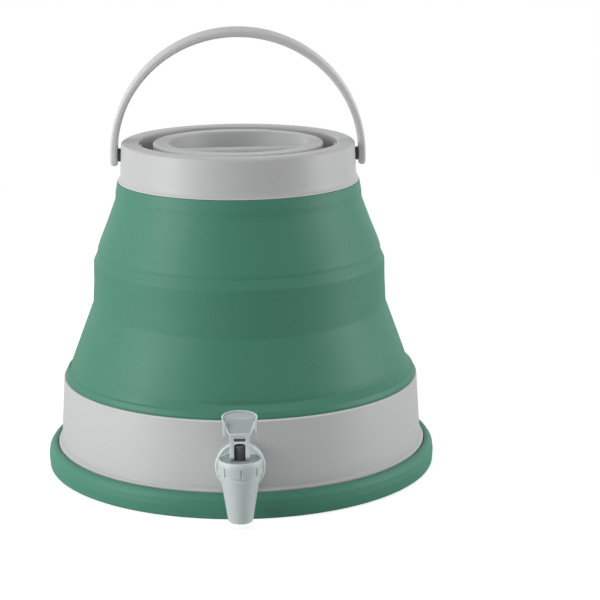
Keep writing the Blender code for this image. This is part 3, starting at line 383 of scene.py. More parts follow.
def moulded(name, colour, roughness, grain, drift, bump, painted_light_gain=0.5, **plain):
    """A moulded plastic or rubber: drifting tone, grain as bump, and roughness that follows it."""
    material = bpy.data.materials.new(name)
    material.use_nodes = True
    tree = material.node_tree
    shader = tree.nodes["Principled BSDF"]
    for label, value in plain.items():
        shader.inputs[label.replace("_", " ")].default_value = value
    place = tree.nodes.new("ShaderNodeTexCoord").outputs["Object"]

    # The tone group also adds the painted light that each point carries.
    tone = tree.nodes.new("ShaderNodeGroup")
    tone.node_tree = DRIFT_AND_PAINTED_LIGHT
    tone.inputs["Color"].default_value = (*colour, 1)
    tone.inputs["Drift"].default_value = drift
    tone.inputs["Paint Gain"].default_value = painted_light_gain
    # The attribute read here is the painted light: painted highlights and painted shade.
    edge = tree.nodes.new("ShaderNodeAttribute")
    edge.attribute_name = PAINTED_LIGHT_ATTRIBUTE
    tree.links.new(edge.outputs["Fac"], tone.inputs["Painted Light"])
    tree.links.new(place, tone.inputs["Vector"])
    tree.links.new(tone.outputs["Color"], shader.inputs["Base Color"])

    height = tree.nodes.new("ShaderNodeGroup")
    height.node_tree = GRAIN
    height.inputs["Grain Scale"].default_value = grain
    tree.links.new(place, height.inputs["Vector"])
    relief = tree.nodes.new("ShaderNodeBump")
    relief.inputs["Strength"].default_value = bump
    relief.inputs["Distance"].default_value = RELIEF_DEPTH * MM
    tree.links.new(height.outputs["Height"], relief.inputs["Height"])
    tree.links.new(relief.outputs["Normal"], shader.inputs["Normal"])

    spread = tree.nodes.new("ShaderNodeMapRange")
    spread.inputs["From Min"].default_value = GRAIN_LOW
    spread.inputs["From Max"].default_value = GRAIN_HIGH
    spread.inputs["To Min"].default_value = roughness - SMOOTHER
    spread.inputs["To Max"].default_value = roughness + ROUGHER
    tree.links.new(height.outputs["Height"], spread.inputs["Value"])
    tree.links.new(spread.outputs["Result"], shader.inputs["Roughness"])
    return material


green = moulded("green_silicone_matt", (0.058, 0.226, 0.150), roughness=0.52, grain=1500, drift=0.05,
                bump=0.25, painted_light_gain=0.25, Specular_IOR_Level=0.35)
grey = moulded("warm_grey_matt", WARM_GREY, roughness=0.46, grain=1300, drift=0.02, bump=0.12,
               painted_light_gain=0.35)
hand_grey = moulded("warm_grey_smooth", WARM_GREY, roughness=0.46, grain=1300, drift=0.02, bump=0.02,
                    painted_light_gain=0.35)
tap_grey = moulded("cool_grey_gloss", (0.555, 0.612, 0.612), roughness=0.33, grain=700, drift=0.02,
                   bump=0.06)
dark = moulded("dark_matt", (0.110, 0.114, 0.116), roughness=0.75, grain=1300, drift=0.06, bump=0.25)
clear = moulded("clear_silicone_satin", (0.7, 0.71, 0.7), roughness=0.38, grain=900, drift=0.03,
                bump=0.12)
print("materials:", [m.name for m in (green, grey, hand_grey, tap_grey, dark, clear)])


# %% [markdown]
# A finished piece gets its material and the body that carries it, and the CAD nodes that it stands
# for are hidden. One function does all three, so that no piece forgets one.

# %% Dress a piece
def dress(obj, material, nodes, body):
    """Material, hidden CAD nodes and, when a body is given, that body."""
    obj.data.materials.append(material)
    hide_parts(*nodes)
    if body:
        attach(obj, body)


# %% [markdown]
# ## Base tray
# The carrier stands on a green silicone tray. Its rim is a soft crown that holds the grey ring in a
# channel, and its underside rests on a wide foot and a pad in the middle. It is one outline, carried
# once round: an outline keeps the crown's roundness in three numbers a corner. The studio's light
# reaches its sides more than its front, so the sides get a little painted light, read off by x / r,
# and the crown's inner corners get a little painted shade.

# %% Base tray
tray_outline = soften([
    (0, 5, 0), (145.4, 5, 0.8), (145.4, 8.7, 0.4), (152.4, 8.7, 0.4), (152.4, 18.8, 0.5, -0.35),
    (155.4, 20.8, 3, -0.35), (159.3, 15.0, 4.5), (160, 9.0, 5), (159.4, 0, 1.8), (138, 0, 0.5),
    (136.8, 1.2, 0.4), (46.2, 1.2, 0.4), (45, 0, 0.5), (0, 0, 0),
])
# TRAY_LIGHT is painted light by x / r; the -0.35 on the crown's inner corners above is painted shade.
TRAY_LIGHT = np.array([(-1, 0.8), (-0.85, 0.5), (-0.5, 0.4), (-0.25, 0.1), (0.1, 0.1), (0.4, 0.3),
                       (0.8, 0.4), (1, 0.7)])
tray = build("tray", [paint_light_round(turned(tray_outline), TRAY_LIGHT)])
dress(tray, green, ["base_tray"], "base")

# %% [markdown]
# ## Lower ring
# The stiff grey hoop flares a little towards the tray. Its top edge ends in a small rounded lip with
# a painted highlight, read off by x / r, that draws a thin light line above the wall. The whole ring
# has a little painted light, and the crease at the wall's foot a little painted shade. Behind the tap
# it carries a flat round pad, which is a second turned surface laid on its side.

# %% Lower ring
LEAN_FORWARD = Matrix.Rotation(math.pi / 2, 4, "X")
TAP_HEIGHT = 41
SHANK = Matrix.Translation((0, 0, TAP_HEIGHT * MM)) @ LEAN_FORWARD
# RING_LIGHT is painted light over the whole ring, LIP_LIGHT the painted highlight on the lip; the -0.3
# at the wall's foot is painted shade.
RING_LIGHT = 0.15
LIP_FOOT, LIP_INSIDE = 73.4, 144
LIP_LIGHT = np.array([(-1, 0), (-0.73, 0.1), (-0.5, 0.3), (-0.22, 0.8), (0, 1.2), (0.28, 1.4),
                      (0.56, 0.9), (0.75, 0.3), (1, 0)])
ring_outline = soften([
    (145.9, 74.5, 0.4), (145.9, 73.2, 4), (148.4, 32.8, 60), (149.2, 21.7, 2.4, -0.3),
    (151.8, 20.1, 0.8), (152.1, 9, 0.5), (149.1, 9, 0.5), (149.1, 18, 1), (146.4, 23.4, 5),
    (145.1, 32.8, 60), (142.7, 74.5, 0.6),
])


def paint_lip_light(surface):
    """Painted highlight on the lip alone: above its foot and outside the ring's inner side."""
    points, _ = surface
    radius = np.hypot(points[:, 0], points[:, 1])
    return paint_light_round(surface, LIP_LIGHT, (points[:, 2] > LIP_FOOT * MM) * (radius > LIP_INSIDE * MM))


pad_outline = soften([(0, 150, 0), (18.5, 150, 0.6), (18.5, 140.5, 0.6), (0, 140.5, 0)])
ring = build("ring", [paint_light(paint_lip_light(turned(ring_outline)), RING_LIGHT),
                      moved(turned(pad_outline, SMALL_TURN_STEPS), SHANK)])
dress(ring, grey, ["lower_ring"], "base")

# %% [markdown]
# ## Folding body
# The green body is one silicone moulding with two folds, which bend across two joints. It bends
# across two joints, and a piece can bend across one, so it is made as two shells that meet in the
# middle of the stiff band, where both have the same radius and slope. The outline was read off the
# photograph's silhouette: a cone, a nearly upright lip, a rounded shoulder, and so on down. The inner
# side is the outer side moved in by the wall. As the carrier closes, each cone turns inside out
# between its two stiff rings.
#
# Soft folds don't hang evenly. Over the tap the points sink by up to 4 mm. The lowest fold hangs
# lower at both sides, and is filled out to the left of the tap. The front's sag is a table of
# millimetres by height. For the rest, a table ending in SHARE gives a share by height, and one
# ending in SAG or PUSH gives millimetres by the turn in degrees, counted from the tap, with the
# photograph's left side below zero.

# %% Folding body
WALL = 2.4
SEAM = (119.1, 155, 0)
lower_outside = [
    (144.3, 74.6, 0.15), (144.5, 76.4, 2), (143.0, 80.0, 1.6), (141.5, 81.2, 3.2), (136.3, 87.8, 1.5),
    (135.9, 90.4, 2.5), (134.7, 94.4, 5), (120.1, 134.6, 8), SEAM,
]
upper_outside = [
    SEAM, (118.9, 170.6, 4), (115.5, 178.3, 0.7), (115.4, 180.9, 1.6), (113.7, 186.2, 4),
    (106.8, 203.2, 60), (100.1, 221.2, 14), (99.8, 227, 10), (98.2, 235.65, 0.15),
]
FRONT_SAG_BY_HEIGHT = np.array([(74, 0), (81, 0.4), (87, 3.6), (96, 4.2), (134, 3.4), (155, 2),
                                (172, 1), (180, 1.4), (200, 0.6), (222, 0)])
FOLD_SHARE = np.array([(74, 0), (81, 0.05), (87, 1), (94, 1), (125, 0)])
FOLD_SAG = np.array([(-180, 3), (-130, 5), (-100, 7.5), (-90, 7), (-70, 3.5), (-50, 0), (-35, -1.7),
                     (-20, -0.8), (-5, 0), (50, 0), (75, 2), (100, 3.5), (180, 3)])
FILL_SHARE = np.array([(81, 0), (84, 0.6), (87.8, 1), (90.4, 0.7), (94.4, 0.4), (100, 0.15), (107, 0)])
FILL_PUSH = np.array([(-180, 0), (-90, 0), (-70, 1), (-50, 2.3), (-35, 2.9), (-20, 1.5), (-5, 0),
                      (180, 0)])
SIDE_SHARE = np.array([(84, 0), (90, 1), (128, 1), (137, 0)])
SIDE_PUSH = np.array([(-180, 0), (-140, 0), (-110, 1.4), (-80, 1.4), (-45, 0), (180, 0)])
CONE_SLOPE = 0.363


def inner_side(outside):
    """The outside's corners moved in by the wall, in the opposite order."""
    return [(corner[0] - WALL, *corner[1:3]) for corner in reversed(outside)]


def settled(surface):
    """How the soft body hangs.

    Down: the front's sag x (how far the point faces the tap) squared, and the fold's share x sag. Out:
    the fold slides along the cone's slope as it sinks, and the fold and the left side are filled out.
    """
    points, faces = surface
    height = points[:, 2] / MM
    turn = np.degrees(np.arctan2(points[:, 0], -points[:, 1]))
    radius = np.maximum(np.hypot(points[:, 0], points[:, 1]), MM)
    facing = np.clip(np.cos(np.radians(turn)), 0, 1)
    slid = np.interp(height, *FOLD_SHARE.T) * np.interp(turn, *FOLD_SAG.T)
    down = slid + np.interp(height, *FRONT_SAG_BY_HEIGHT.T) * facing ** 2
    out = CONE_SLOPE * slid + np.interp(height, *FILL_SHARE.T) * np.interp(turn, *FILL_PUSH.T)
    out += np.interp(height, *SIDE_SHARE.T) * np.interp(turn, *SIDE_PUSH.T)
    x_y, z = points[:, :2] * (1 + out * MM / radius)[:, None], points[:, 2] - down * MM
    return np.column_stack([x_y, z, points[:, 3]]), faces


lower_tongue = [(140, 67.1, 0.4), (142.4, 67.1, 0.4), (142.4, 74.6, 0)]
upper_tongue = [(92.4, 235.6, 0), (92.4, 243.5, 0.4), (90, 243.5, 0.4), (90, 233.1, 2)]
lower_outline = soften(lower_outside + inner_side(lower_outside)[:-1] + lower_tongue)
upper_outline = soften(upper_outside + upper_tongue + inner_side(upper_outside)[1:])
lower_body = build("folding_body_lower", [settled(turned(lower_outline))])
upper_body = build("folding_body_upper", [settled(turned(upper_outline))])
dress(lower_body, green, ["bellows_lower_fold", "bellows_middle_band"], None)
dress(upper_body, green, ["bellows_upper_fold", "bellows_top_band"], None)
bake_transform(lower_body)
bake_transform(upper_body)

# %% [markdown]
# ## Collar
# The grey collar has a plain wall, a rounded rim, a finger groove round the lid and the neck that
# the lid screws on. The screw thread is a ridge that climbs round the neck: a small section carried
# along a helix, whose height fades to nothing at both ends, as a moulded thread's does.

# %% Collar and its thread
# COLLAR_LIGHT is painted shade over the whole collar; the foot's lip corner (light 1) carries a painted
# highlight.
COLLAR_LIGHT = -0.08
THREAD_RIDGE, THREAD_PITCH, THREAD_TURNS, THREAD_STEPS = 1.1, 3.4, 2, 90
THREAD_FADE, THREAD_TIP = 0.25, 0.02
NECK_THREAD_RADIUS, NECK_THREAD_FOOT = 63.2, 250.6
collar_outline = soften([
    (80.3, 267.3, 2), (94.4, 267.3, 3), (95.7, 239.4, 10), (98.2, 235.85, 0.4, 1), (95.4, 235.8, 0.4),
    (92.7, 239.2, 3), (91.5, 264.3, 1), (83.3, 264.3, 1), (83.3, 244.3, 2), (63.2, 244.3, 1),
    (63.2, 237.8, 0.5), (60, 237.8, 0.5), (60, 260.9, 0.8), (63.2, 260.9, 0.8), (63.2, 247.3, 0.6),
    (80.3, 247.3, 2),
])


def thread(radius, foot, side):
    """A ridge along a helix: its middle is at radius and foot + pitch x turn / 2 pi, in millimetres.

    The section is a low trapezoid that stands outwards with side 1 and inwards with side -1, on a base
    sunk 0.3 mm into the wall. Its height is ridge x min(1, distance from the nearer end / fade).
    """
    last = THREAD_TURNS * 2 * np.pi
    along = np.linspace(0, last, THREAD_STEPS * THREAD_TURNS)[:, None]
    fade = np.clip(np.minimum(along, last - along) / THREAD_FADE, THREAD_TIP, 1)
    out = np.array([-0.3, -0.3, 0.5, 1, 1, 0.5])
    up = np.array([-1.1, 1.1, 0.9, 0.45, -0.45, -0.9])
    reach = radius + side * np.where(out > 0, out * THREAD_RIDGE * fade, out)
    height = foot + THREAD_PITCH * along / (2 * np.pi) + up * (0.3 + 0.7 * fade)
    return skin(grid_of(reach * np.cos(along), reach * np.sin(along), height) * MM, "caps")


collar = build("collar_shell", [paint_light(turned(collar_outline), COLLAR_LIGHT),
                                thread(NECK_THREAD_RADIUS, NECK_THREAD_FOOT, side=1)])
dress(collar, grey, ["collar", "groove_floor", "neck"], "top")

# %% [markdown]
# ## Lid
# The lid is a ring with a deep dish inside it. A straight bar across the dish is what the hand turns.
# The bar is a rounded outline given a length, with its ends buried in the dish's wall, and it stands
# a few degrees off square, where the thread came to rest in the photograph. The dish and the bar
# below its top get painted light, which lifts the shade inside the dish, and the lid's outer rounding
# gets a painted highlight.

# %% Lid
BAR_TURN = math.radians(6.7)
BAR_HALF_LENGTH, BAR_EDGE = 57.2, 0.2
# DISH_LIGHT is painted light that lifts the shade inside the dish and on the bar below BAR_LIT_BELOW;
# the lid's outer rounding (0.4) is a painted highlight.
DISH_LIGHT, DISH_RADIUS, DISH_LOW, DISH_HIGH, BAR_LIT_BELOW = 0.6, 56.1, 244, 265, 260
LID_THREAD_RADIUS, LID_THREAD_FOOT = 65.8, 251.4
lid_outline = soften([
    (0, 246, 0), (56, 246, 4), (56, 266.4, 1.5), (68.8, 266.4, 1.6, 0.4), (68.8, 248.5, 0.6),
    (65.8, 248.5, 0.6), (65.8, 263.2, 0.6), (58.5, 263.2, 0.6), (58.5, 243.5, 4), (0, 243.5, 0),
])
bar_outline = soften([(-8.8, 244.5, 0.5), (7, 244.5, 0.5), (7, 261, 2), (-8.8, 261, 2)])
bar_turn = Matrix.Rotation(BAR_TURN, 4, "Z") @ Matrix.Rotation(math.pi / 2, 4, "Z") @ LEAN_FORWARD
bar_points, bar_faces = moved(plate(bar_outline, 2 * BAR_HALF_LENGTH * MM, BAR_EDGE * MM), bar_turn)
lid_radius, lid_height, lid_light = lid_outline.T
lid_light += (DISH_LIGHT * (lid_radius < DISH_RADIUS * MM)
              * (lid_height > DISH_LOW * MM) * (lid_height < DISH_HIGH * MM))
bar_points[:, 3] += DISH_LIGHT * (bar_points[:, 2] < BAR_LIT_BELOW * MM)
lid = build("lid_shell", [turned(lid_outline), (bar_points, bar_faces),
                          thread(LID_THREAD_RADIUS, LID_THREAD_FOOT, side=-1)])
dress(lid, grey, ["lid"], "lid")

# %% [markdown]
# ## Handle
# The bail is a flat strip with round ends, bent over a half circle. It is drawn flat first: a stadium
# outline, drawn in row by row with a rolled edge until it closes on its middle line. Then the strip
# is bent: the distance along it becomes an angle, and its ends run straight down past the pivots.
# It leans six degrees towards the tap, as the photograph shows it.

# %% Handle
PIVOT = 256
HANDLE_INSIDE, HANDLE_THICK, HANDLE_HALF_WIDTH = 97.5, 5.7, 9
HANDLE_EDGE, HANDLE_CROWN, LEG_LIGHT = 2.1, 0.25, 0.5
HANDLE_LEAN = math.radians(6.2)


def stadium(half_length, half_width, along_steps=120, end_steps=40):
    """Perimeter as (middle-line point, unit direction outwards), anticlockwise, sides then ends."""
    run = np.linspace(-half_length, half_length, along_steps)
    round_end = np.linspace(-np.pi / 2, np.pi / 2, end_steps)[1:-1]
    spine = np.concatenate([run, np.full(len(round_end), half_length), run[::-1],
                            np.full(len(round_end), -half_length)])
    turn = np.concatenate([np.full(along_steps, -np.pi / 2), round_end,
                           np.full(along_steps, np.pi / 2), round_end + np.pi])
    return spine, np.stack([np.cos(turn), np.sin(turn)], axis=1) * half_width


def bent_strip():
    """Strip point (s, y, h) goes to angle s / R on the arc, at radius R + h, and straight down past it.

    Both faces are crowned by a quarter of a millimetre. The legs get painted light, more than the
    arc's top, by the square of the distance from the middle.
    """
    middle = HANDLE_INSIDE + HANDLE_THICK / 2
    arc = np.pi * middle
    spine, spoke = stadium(arc / 2, HANDLE_HALF_WIDTH)
    side = rolled(HANDLE_THICK, HANDLE_EDGE, steps=8)
    half = HANDLE_THICK / 2
    face = np.array([[HANDLE_HALF_WIDTH, half + HANDLE_CROWN, 0], [6, half + HANDLE_CROWN * 0.7, 0],
                     [3.4, half + HANDLE_CROWN * 0.2, 0]])
    rows = np.concatenate([face * (1, -1, 1), side, face[::-1]])
    left = 1 - rows[:, :1] / HANDLE_HALF_WIDTH
    s = spine + spoke[:, 0] * left
    y = spoke[:, 1] * left
    angle = np.clip(s, -arc / 2, arc / 2) / middle
    radius = middle + rows[:, 1:2]
    drop = np.maximum(np.abs(s) - arc / 2, 0)
    across = radius * np.sin(angle)
    # Painted light on the legs, growing towards their ends.
    painted_leg_light = LEG_LIGHT * (across / HANDLE_INSIDE) ** 2
    return skin(grid_of(across * MM, y * MM, (radius * np.cos(angle) - drop) * MM, painted_leg_light))


leaning = Matrix.Translation((0, 0, PIVOT * MM)) @ Matrix.Rotation(HANDLE_LEAN, 4, "X")
handle = build("bail_handle", [moved(bent_strip(), leaning)])
dress(handle, hand_grey, ["handle"], "bail")

# %% [markdown]
# ## Handle pins
# Two pins hold the handle. Each has a broad grey head in the groove, whose top shows as a small light
# block at the groove's end, with a painted highlight on the head's rim, and runs through the collar's
# wall and a dark washer into the handle. All four pieces are round, so each is an outline turned
# about Z and then laid along X. A cylinder primitive would do for the washers, but it has sharp edges
# that catch no light.

# %% Handle pins and washers
# The head's rim corners (light 1) carry a painted highlight.
pin_outline = soften([(0, 101.5, 0), (2.5, 101.5, 0.4), (2.5, 79.3, 0.1), (8.3, 79.3, 0.4, 1),
                      (8.3, 77.9, 0.5, 1), (5.4, 77.35, 0.8), (0, 77.3, 0)])
washer_outline = soften([(5.4, 97.1, 0.3), (5.4, 95.1, 0.3), (2.8, 95.1, 0.1), (2.8, 97.1, 0.1)])
for side, word in ((-1, "left"), (1, "right")):
    lying = Matrix.Translation((0, 0, PIVOT * MM)) @ Matrix.Rotation(side * math.pi / 2, 4, "Y")
    pin = build("pin_" + word, [moved(turned(pin_outline, SMALL_TURN_STEPS), lying)])
    dress(pin, grey, ["handle_pin_" + word], "top")
    washer = build("washer_" + word, [moved(turned(washer_outline, SMALL_TURN_STEPS), lying)])
    dress(washer, dark, ["handle_washer_" + word], "top")

# %% [markdown]
# ## Tap body
# Spout, barrel, neck and flange are one moulding. The spout is a hollow cone, the flange is a disc
# with a raised rim, and the neck joins them. The rim and a corner near the spout's top carry painted
# highlights, and the flange's face painted light. Spout and flange are turned about their own axes and
# run into each other. A boolean would join their skins, but it leaves ragged faces along the joint,
# and nothing shows where one closed surface ends inside the other.

# %% Tap body
TAP_REACH = 178
# FLANGE_LIGHT is painted light on the flange's face, above FLANGE_FACE and outside the barrel.
FLANGE_LIGHT, FLANGE_FACE, BARREL_RADIUS = 0.4, 154, 9.1
TAP = Matrix.Translation((0, -TAP_REACH * MM, 0))
spout_outline = soften([
    (0, 29.5, 0), (8.5, 29.5, 0.6), (7.4, 6, 0.5), (9.3, 6, 1.1), (14.6, 39.6, 0.6),
    (15.2, 40.6, 0.4, 0.7), (15.2, 43.7, 0.4), (13.1, 43.7, 0.1), (13.1, 50.5, 0.3), (0, 50.5, 0),
])
flange_outline = soften([
    (0, 172, 0), (9, 172, 0.2), (9, 154.6, 0.8), (17.3, 154.6, 0.3), (17.7, 155.4, 0.3, 1),
    (19.1, 155.4, 0.5, 1), (19.1, 152.6, 0.5, 0.6), (8.2, 152.6, 0.1), (8.2, 129, 0.4), (5.2, 129, 0.3),
    (5.2, 146, 0.2), (0, 146, 0),
])
flange_radius, flange_reach, flange_light = flange_outline.T
flange_light += FLANGE_LIGHT * (flange_reach > FLANGE_FACE * MM) * (flange_radius > BARREL_RADIUS * MM)
tap_body = build("tap_spout", [moved(turned(spout_outline, SMALL_TURN_STEPS), TAP),
                               moved(turned(flange_outline, SMALL_TURN_STEPS), SHANK)])
dress(tap_body, tap_grey, ["tap_body"], "base")

# %% [markdown]
# ## Tap cap
# The screw cap has eight fine grip grooves. Instead of cutting them, the turned surface is pressed in
# where the turn lies inside a groove, so the mesh stays clean. The turns are spaced closely at each
# groove's edges, which keeps the grooves crisp with few faces.

# %% Tap cap
CAP_RADIUS, CAP_ROW = 16.8, 0.6
# DECK_LIGHT is painted shade on the recessed deck, RIM_LIGHT a painted highlight on the rim round it;
# the lower outer edge (0.5) also carries a painted highlight.
CAP_DECK, CAP_RIM, DECK_LIGHT, RIM_LIGHT = 54, 15.05, -0.5, 0.45
GROOVES, GROOVE_HALF, GROOVE_DEEP, GROOVE_TOP = 8, 0.7 / CAP_RADIUS, 0.8, 51.2
GROOVE_FLOOR, GROOVE_RIM, GROOVE_RUN, GROOVE_WALL = 0.75, 1.15, 0.5, 15.6
GROOVE_START = math.radians(-90 + 3.5)
cap_outline = soften([
    (4.45, 54.4, 0.2), (15.0, 54.4, 0.3), (15.2, 55.4, 0.3), (16.2, 55.4, 0.6), (16.75, 51.3, 0.5),
    (CAP_RADIUS, 44.0, 0.4, 0.5), (13.4, 44.0, 0.2), (13.4, 52.4, 0.3), (4.45, 52.4, 0.2),
])
cap_radius, cap_height, cap_light = cap_outline.T
cap_light += (cap_height > CAP_DECK * MM) * np.where(cap_radius < CAP_RIM * MM, DECK_LIGHT, RIM_LIGHT)
groove_turns = np.arange(GROOVES) * 2 * np.pi / GROOVES + GROOVE_START
near = GROOVE_HALF * np.array([-1.7, -1.3, -1, -0.7, -0.35, 0, 0.35, 0.7, 1, 1.3, 1.7])


def turns_away(turn):
    """Distance of each turn from the nearest groove, as an angle."""
    return np.abs((turn[:, None] - groove_turns + np.pi) % (2 * np.pi) - np.pi).min(axis=1)


even = np.linspace(0, 2 * np.pi, 96, endpoint=False)
between = even[turns_away(even) > 2 * GROOVE_HALF]
cap_turns = np.concatenate([between, (groove_turns[:, None] + near).ravel()])
cap_turns = np.sort(cap_turns % (2 * np.pi))


def grip_grooves(radius, height, turn):
    """Depth x (inside a groove's width) x (below its top end) x (on the cap's outer wall)."""
    across = np.clip((GROOVE_RIM - turns_away(turn) / GROOVE_HALF) / (GROOVE_RIM - GROOVE_FLOOR), 0, 1)
    below = np.clip((GROOVE_TOP * MM - height) / (GROOVE_RUN * MM), 0, 1)
    return GROOVE_DEEP * MM * across * below * (radius > GROOVE_WALL * MM)


def subdivided(outline, longest):
    """The outline with its long sides cut evenly, so that the dents have rows to lie on."""
    gap = np.linalg.norm(np.roll(outline, -1, axis=0)[:, :2] - outline[:, :2], axis=1)
    cuts = np.maximum(np.ceil(gap / longest), 1).astype(int)
    first = np.repeat(np.arange(len(outline)), cuts)
    share = (np.arange(cuts.sum()) - np.repeat(np.cumsum(cuts) - cuts, cuts)) / np.repeat(cuts, cuts)
    return outline[first] + share[:, None] * (np.roll(outline, -1, axis=0)[first] - outline[first])


cap_surface = turned(subdivided(cap_outline, CAP_ROW * MM), cap_turns, dent=grip_grooves)
tap_cap = build("tap_screw_cap", [moved(cap_surface, TAP)])
dress(tap_cap, tap_grey, ["tap_cap"], "base")

# %% [markdown]
# ## Valve stem and lever pin
# The dark stem rises through the cap when the lever is pushed. It is turned, with a low dome that
# catches a soft light between the arms. A thin pin through arms and stem joins the two; its ends show
# on the arms' outer sides.

# %% Stem and pin
PIN_HEIGHT = 60.8
AT_PIN = Matrix.Translation((0, -TAP_REACH * MM, PIN_HEIGHT * MM))
stem_outline = soften([
    (0, 65.7, 0), (3.9, 65.5, 0.7), (4.15, 64.6, 0.4), (4.15, 36.8, 0.2), (0, 36.8, 0),
])
stem = build("tap_valve_stem", [moved(turned(stem_outline, SMALL_TURN_STEPS), TAP)])
dress(stem, dark, ["tap_stem"], "valve")
cross_outline = soften([(0, 7.35, 0), (1.5, 7.35, 0.3), (1.5, -7.35, 0.3), (0, -7.35, 0)])
across_tap = AT_PIN @ Matrix.Rotation(math.pi / 2, 4, "Y")
cross_pin = build("tap_cross_pin", [moved(turned(cross_outline, PIN_TURN_STEPS), across_tap)])
dress(cross_pin, tap_grey, ["lever_pin"], "valve")

# %% [markdown]
# ## Lever
# Two arms with cam heels, a bridge and a leaning thumb paddle make the lever. The heels roll on the
# cap and draw the stem up. The arms are plates in the side view. The paddle is a plate whose rows
# first climb a raised rim and then sink into a dished face, which bends back a little near its top,
# where the photograph shows a faint ridge. Rows of one grid give rim, dish and ridge in one skin,
# where separate rims would need joining. The rim and the ridge carry painted highlights, the sunk
# face painted shade, and the arms, tabs and bridge painted light. A dark block under the bridge,
# seen between the arms, is painted shade standing in for the shade there.

# %% Lever
HEEL, HEEL_GROWTH, HEEL_TRAVEL = 5.6, 3.0, math.radians(75)
ARM_RISE, ARM_HALF, ARM_PLACE, ARM_THICK, ARM_EDGE = 13.2, 3.5, 5.9, 2.9, 0.35
# Painted light on arms, tabs and bridge, with painted highlights on their rolled edges.
ARM_LIGHT, ARM_EDGE_LIGHT, TAB_LIGHT, BRIDGE_LIGHT = 0.3, 0.6, 0.5, 0.4
TAB_PLACE, TAB_HALF, BLOCK_EDGE = 11.5, 1.1, 0.4
PADDLE_LENGTH, PADDLE_HALF, PADDLE_LEAN = 19.9, 13.5, math.radians(35)
FOOT_SHARE, CROWN_SHARE = 0.54, 0.72
BEND_SHARE, BEND_SLOPE, FACE_BELOW = 0.64, 0.3, 0.6
RIDGE_SHARE, RIDGE_HIGH, RIDGE_LIGHT, RIDGE_END = 0.02, 0.15, 0.7, 8.5
# FACE_LIGHT is painted shade on the paddle's sunk face; RIDGE_LIGHT a painted highlight on the ridge.
FACE_HEIGHT, FACE_LIGHT = 0.12, -0.4


def arm_outline():
    """Side view (y, z): a spiral cam in front, a round heel behind, then the straight arm.

    The spiral's radius is heel + growth x turn / travel.
    """
    front = np.linspace(HEEL_TRAVEL, 0, 24)
    rear = np.linspace(0, np.pi / 2, 16)[1:]
    radius = HEEL + HEEL_GROWTH * front / HEEL_TRAVEL
    spiral = np.column_stack([-radius * np.sin(front), -radius * np.cos(front)])
    heel = np.column_stack([HEEL * np.sin(rear), -HEEL * np.cos(rear)])
    shank = [(ARM_HALF, 5.6), (ARM_HALF, ARM_RISE), (-ARM_HALF, ARM_RISE), (-ARM_HALF, 5.6)]
    return np.concatenate([spiral, heel, shank]) * MM


def paddle_outline():
    """Right side by its shares, an elliptical crown, and the same mirrored, anticlockwise."""
    side = np.array([(FOOT_SHARE, 0), (0.60, 0.025), (0.65, 0.06), (0.685, 0.11), (0.72, 0.17),
                     (0.76, 0.23), (0.81, 0.31), (0.86, 0.385), (0.905, 0.455), (0.95, 0.55),
                     (0.98, 0.63)])
    crown = np.linspace(0, np.pi / 2, 28)
    top = np.column_stack([np.cos(crown), CROWN_SHARE + (1 - CROWN_SHARE) * np.sin(crown)])
    right = np.concatenate([side, top]) * (PADDLE_HALF, PADDLE_LENGTH)
    left = (right * (-1, 1))[::-1][1:]
    foot = np.linspace(-1, 1, 12)[1:-1, None] * (FOOT_SHARE * PADDLE_HALF, 0)
    return np.concatenate([right, left, foot]) * MM


def paddle_surface():
    """Rows (inset, height, painted light): rolled edge, side, raised rim and the sunk face's border.

    The back and the face are the outline drawn in towards one middle point, the face with painted
    shade. Above its bend the whole paddle leans back, by slope x height above the bend. A faint ridge
    lies along the bend: height x exp(-(distance / width)^2), growing from left to right, with a
    painted highlight along it.
    """
    outline = paddle_outline()
    rows = [(0.6, -1.2, 0), (0.15, -1.05, 0.2), (0, -0.7, 0.3), (0, 0.8, 0.4), (0.12, 1.08, 0.6),
            (0.4, 1.2, 0.6), (0.75, 1.17, 0.6), (0.95, 1.0, 0.2), (1.1, 0.5, -0.4), (1.3, 0.3, -0.4)]
    rings = [grid_of(*inset(outline, depth * MM).T, z * MM, light) for depth, z, light in rows]
    middle = np.array([0, 0.55 * PADDLE_LENGTH * MM, 0, 0])
    centre = middle + (0, 0, FACE_HEIGHT * MM, FACE_LIGHT)
    face = [centre + (rings[-1] - centre) * share for share in np.linspace(1, 0, 16)[1:]]
    back = [middle + (rings[0] - middle) * (share, share, 1, 1) for share in (0, 0.35, 0.7)]
    grid = np.stack(back + rings + face)
    high = grid[..., 1] / (PADDLE_LENGTH * MM) - BEND_SHARE
    grid[..., 2] -= np.clip(high, 0, None) * BEND_SLOPE * PADDLE_LENGTH * MM
    on_face = (grid[..., 2] < FACE_BELOW * MM) * (np.arange(len(grid)) > len(back + rings))[:, None]
    ridge = on_face * np.exp(-(high / RIDGE_SHARE) ** 2) * np.clip((grid[..., 0] / MM + 7) / 10, 0, 1)
    ridge *= grid[..., 0] < RIDGE_END * MM
    grid[..., 2] += ridge * RIDGE_HIGH * MM
    grid[..., 3] += ridge * RIDGE_LIGHT
    return skin(grid)


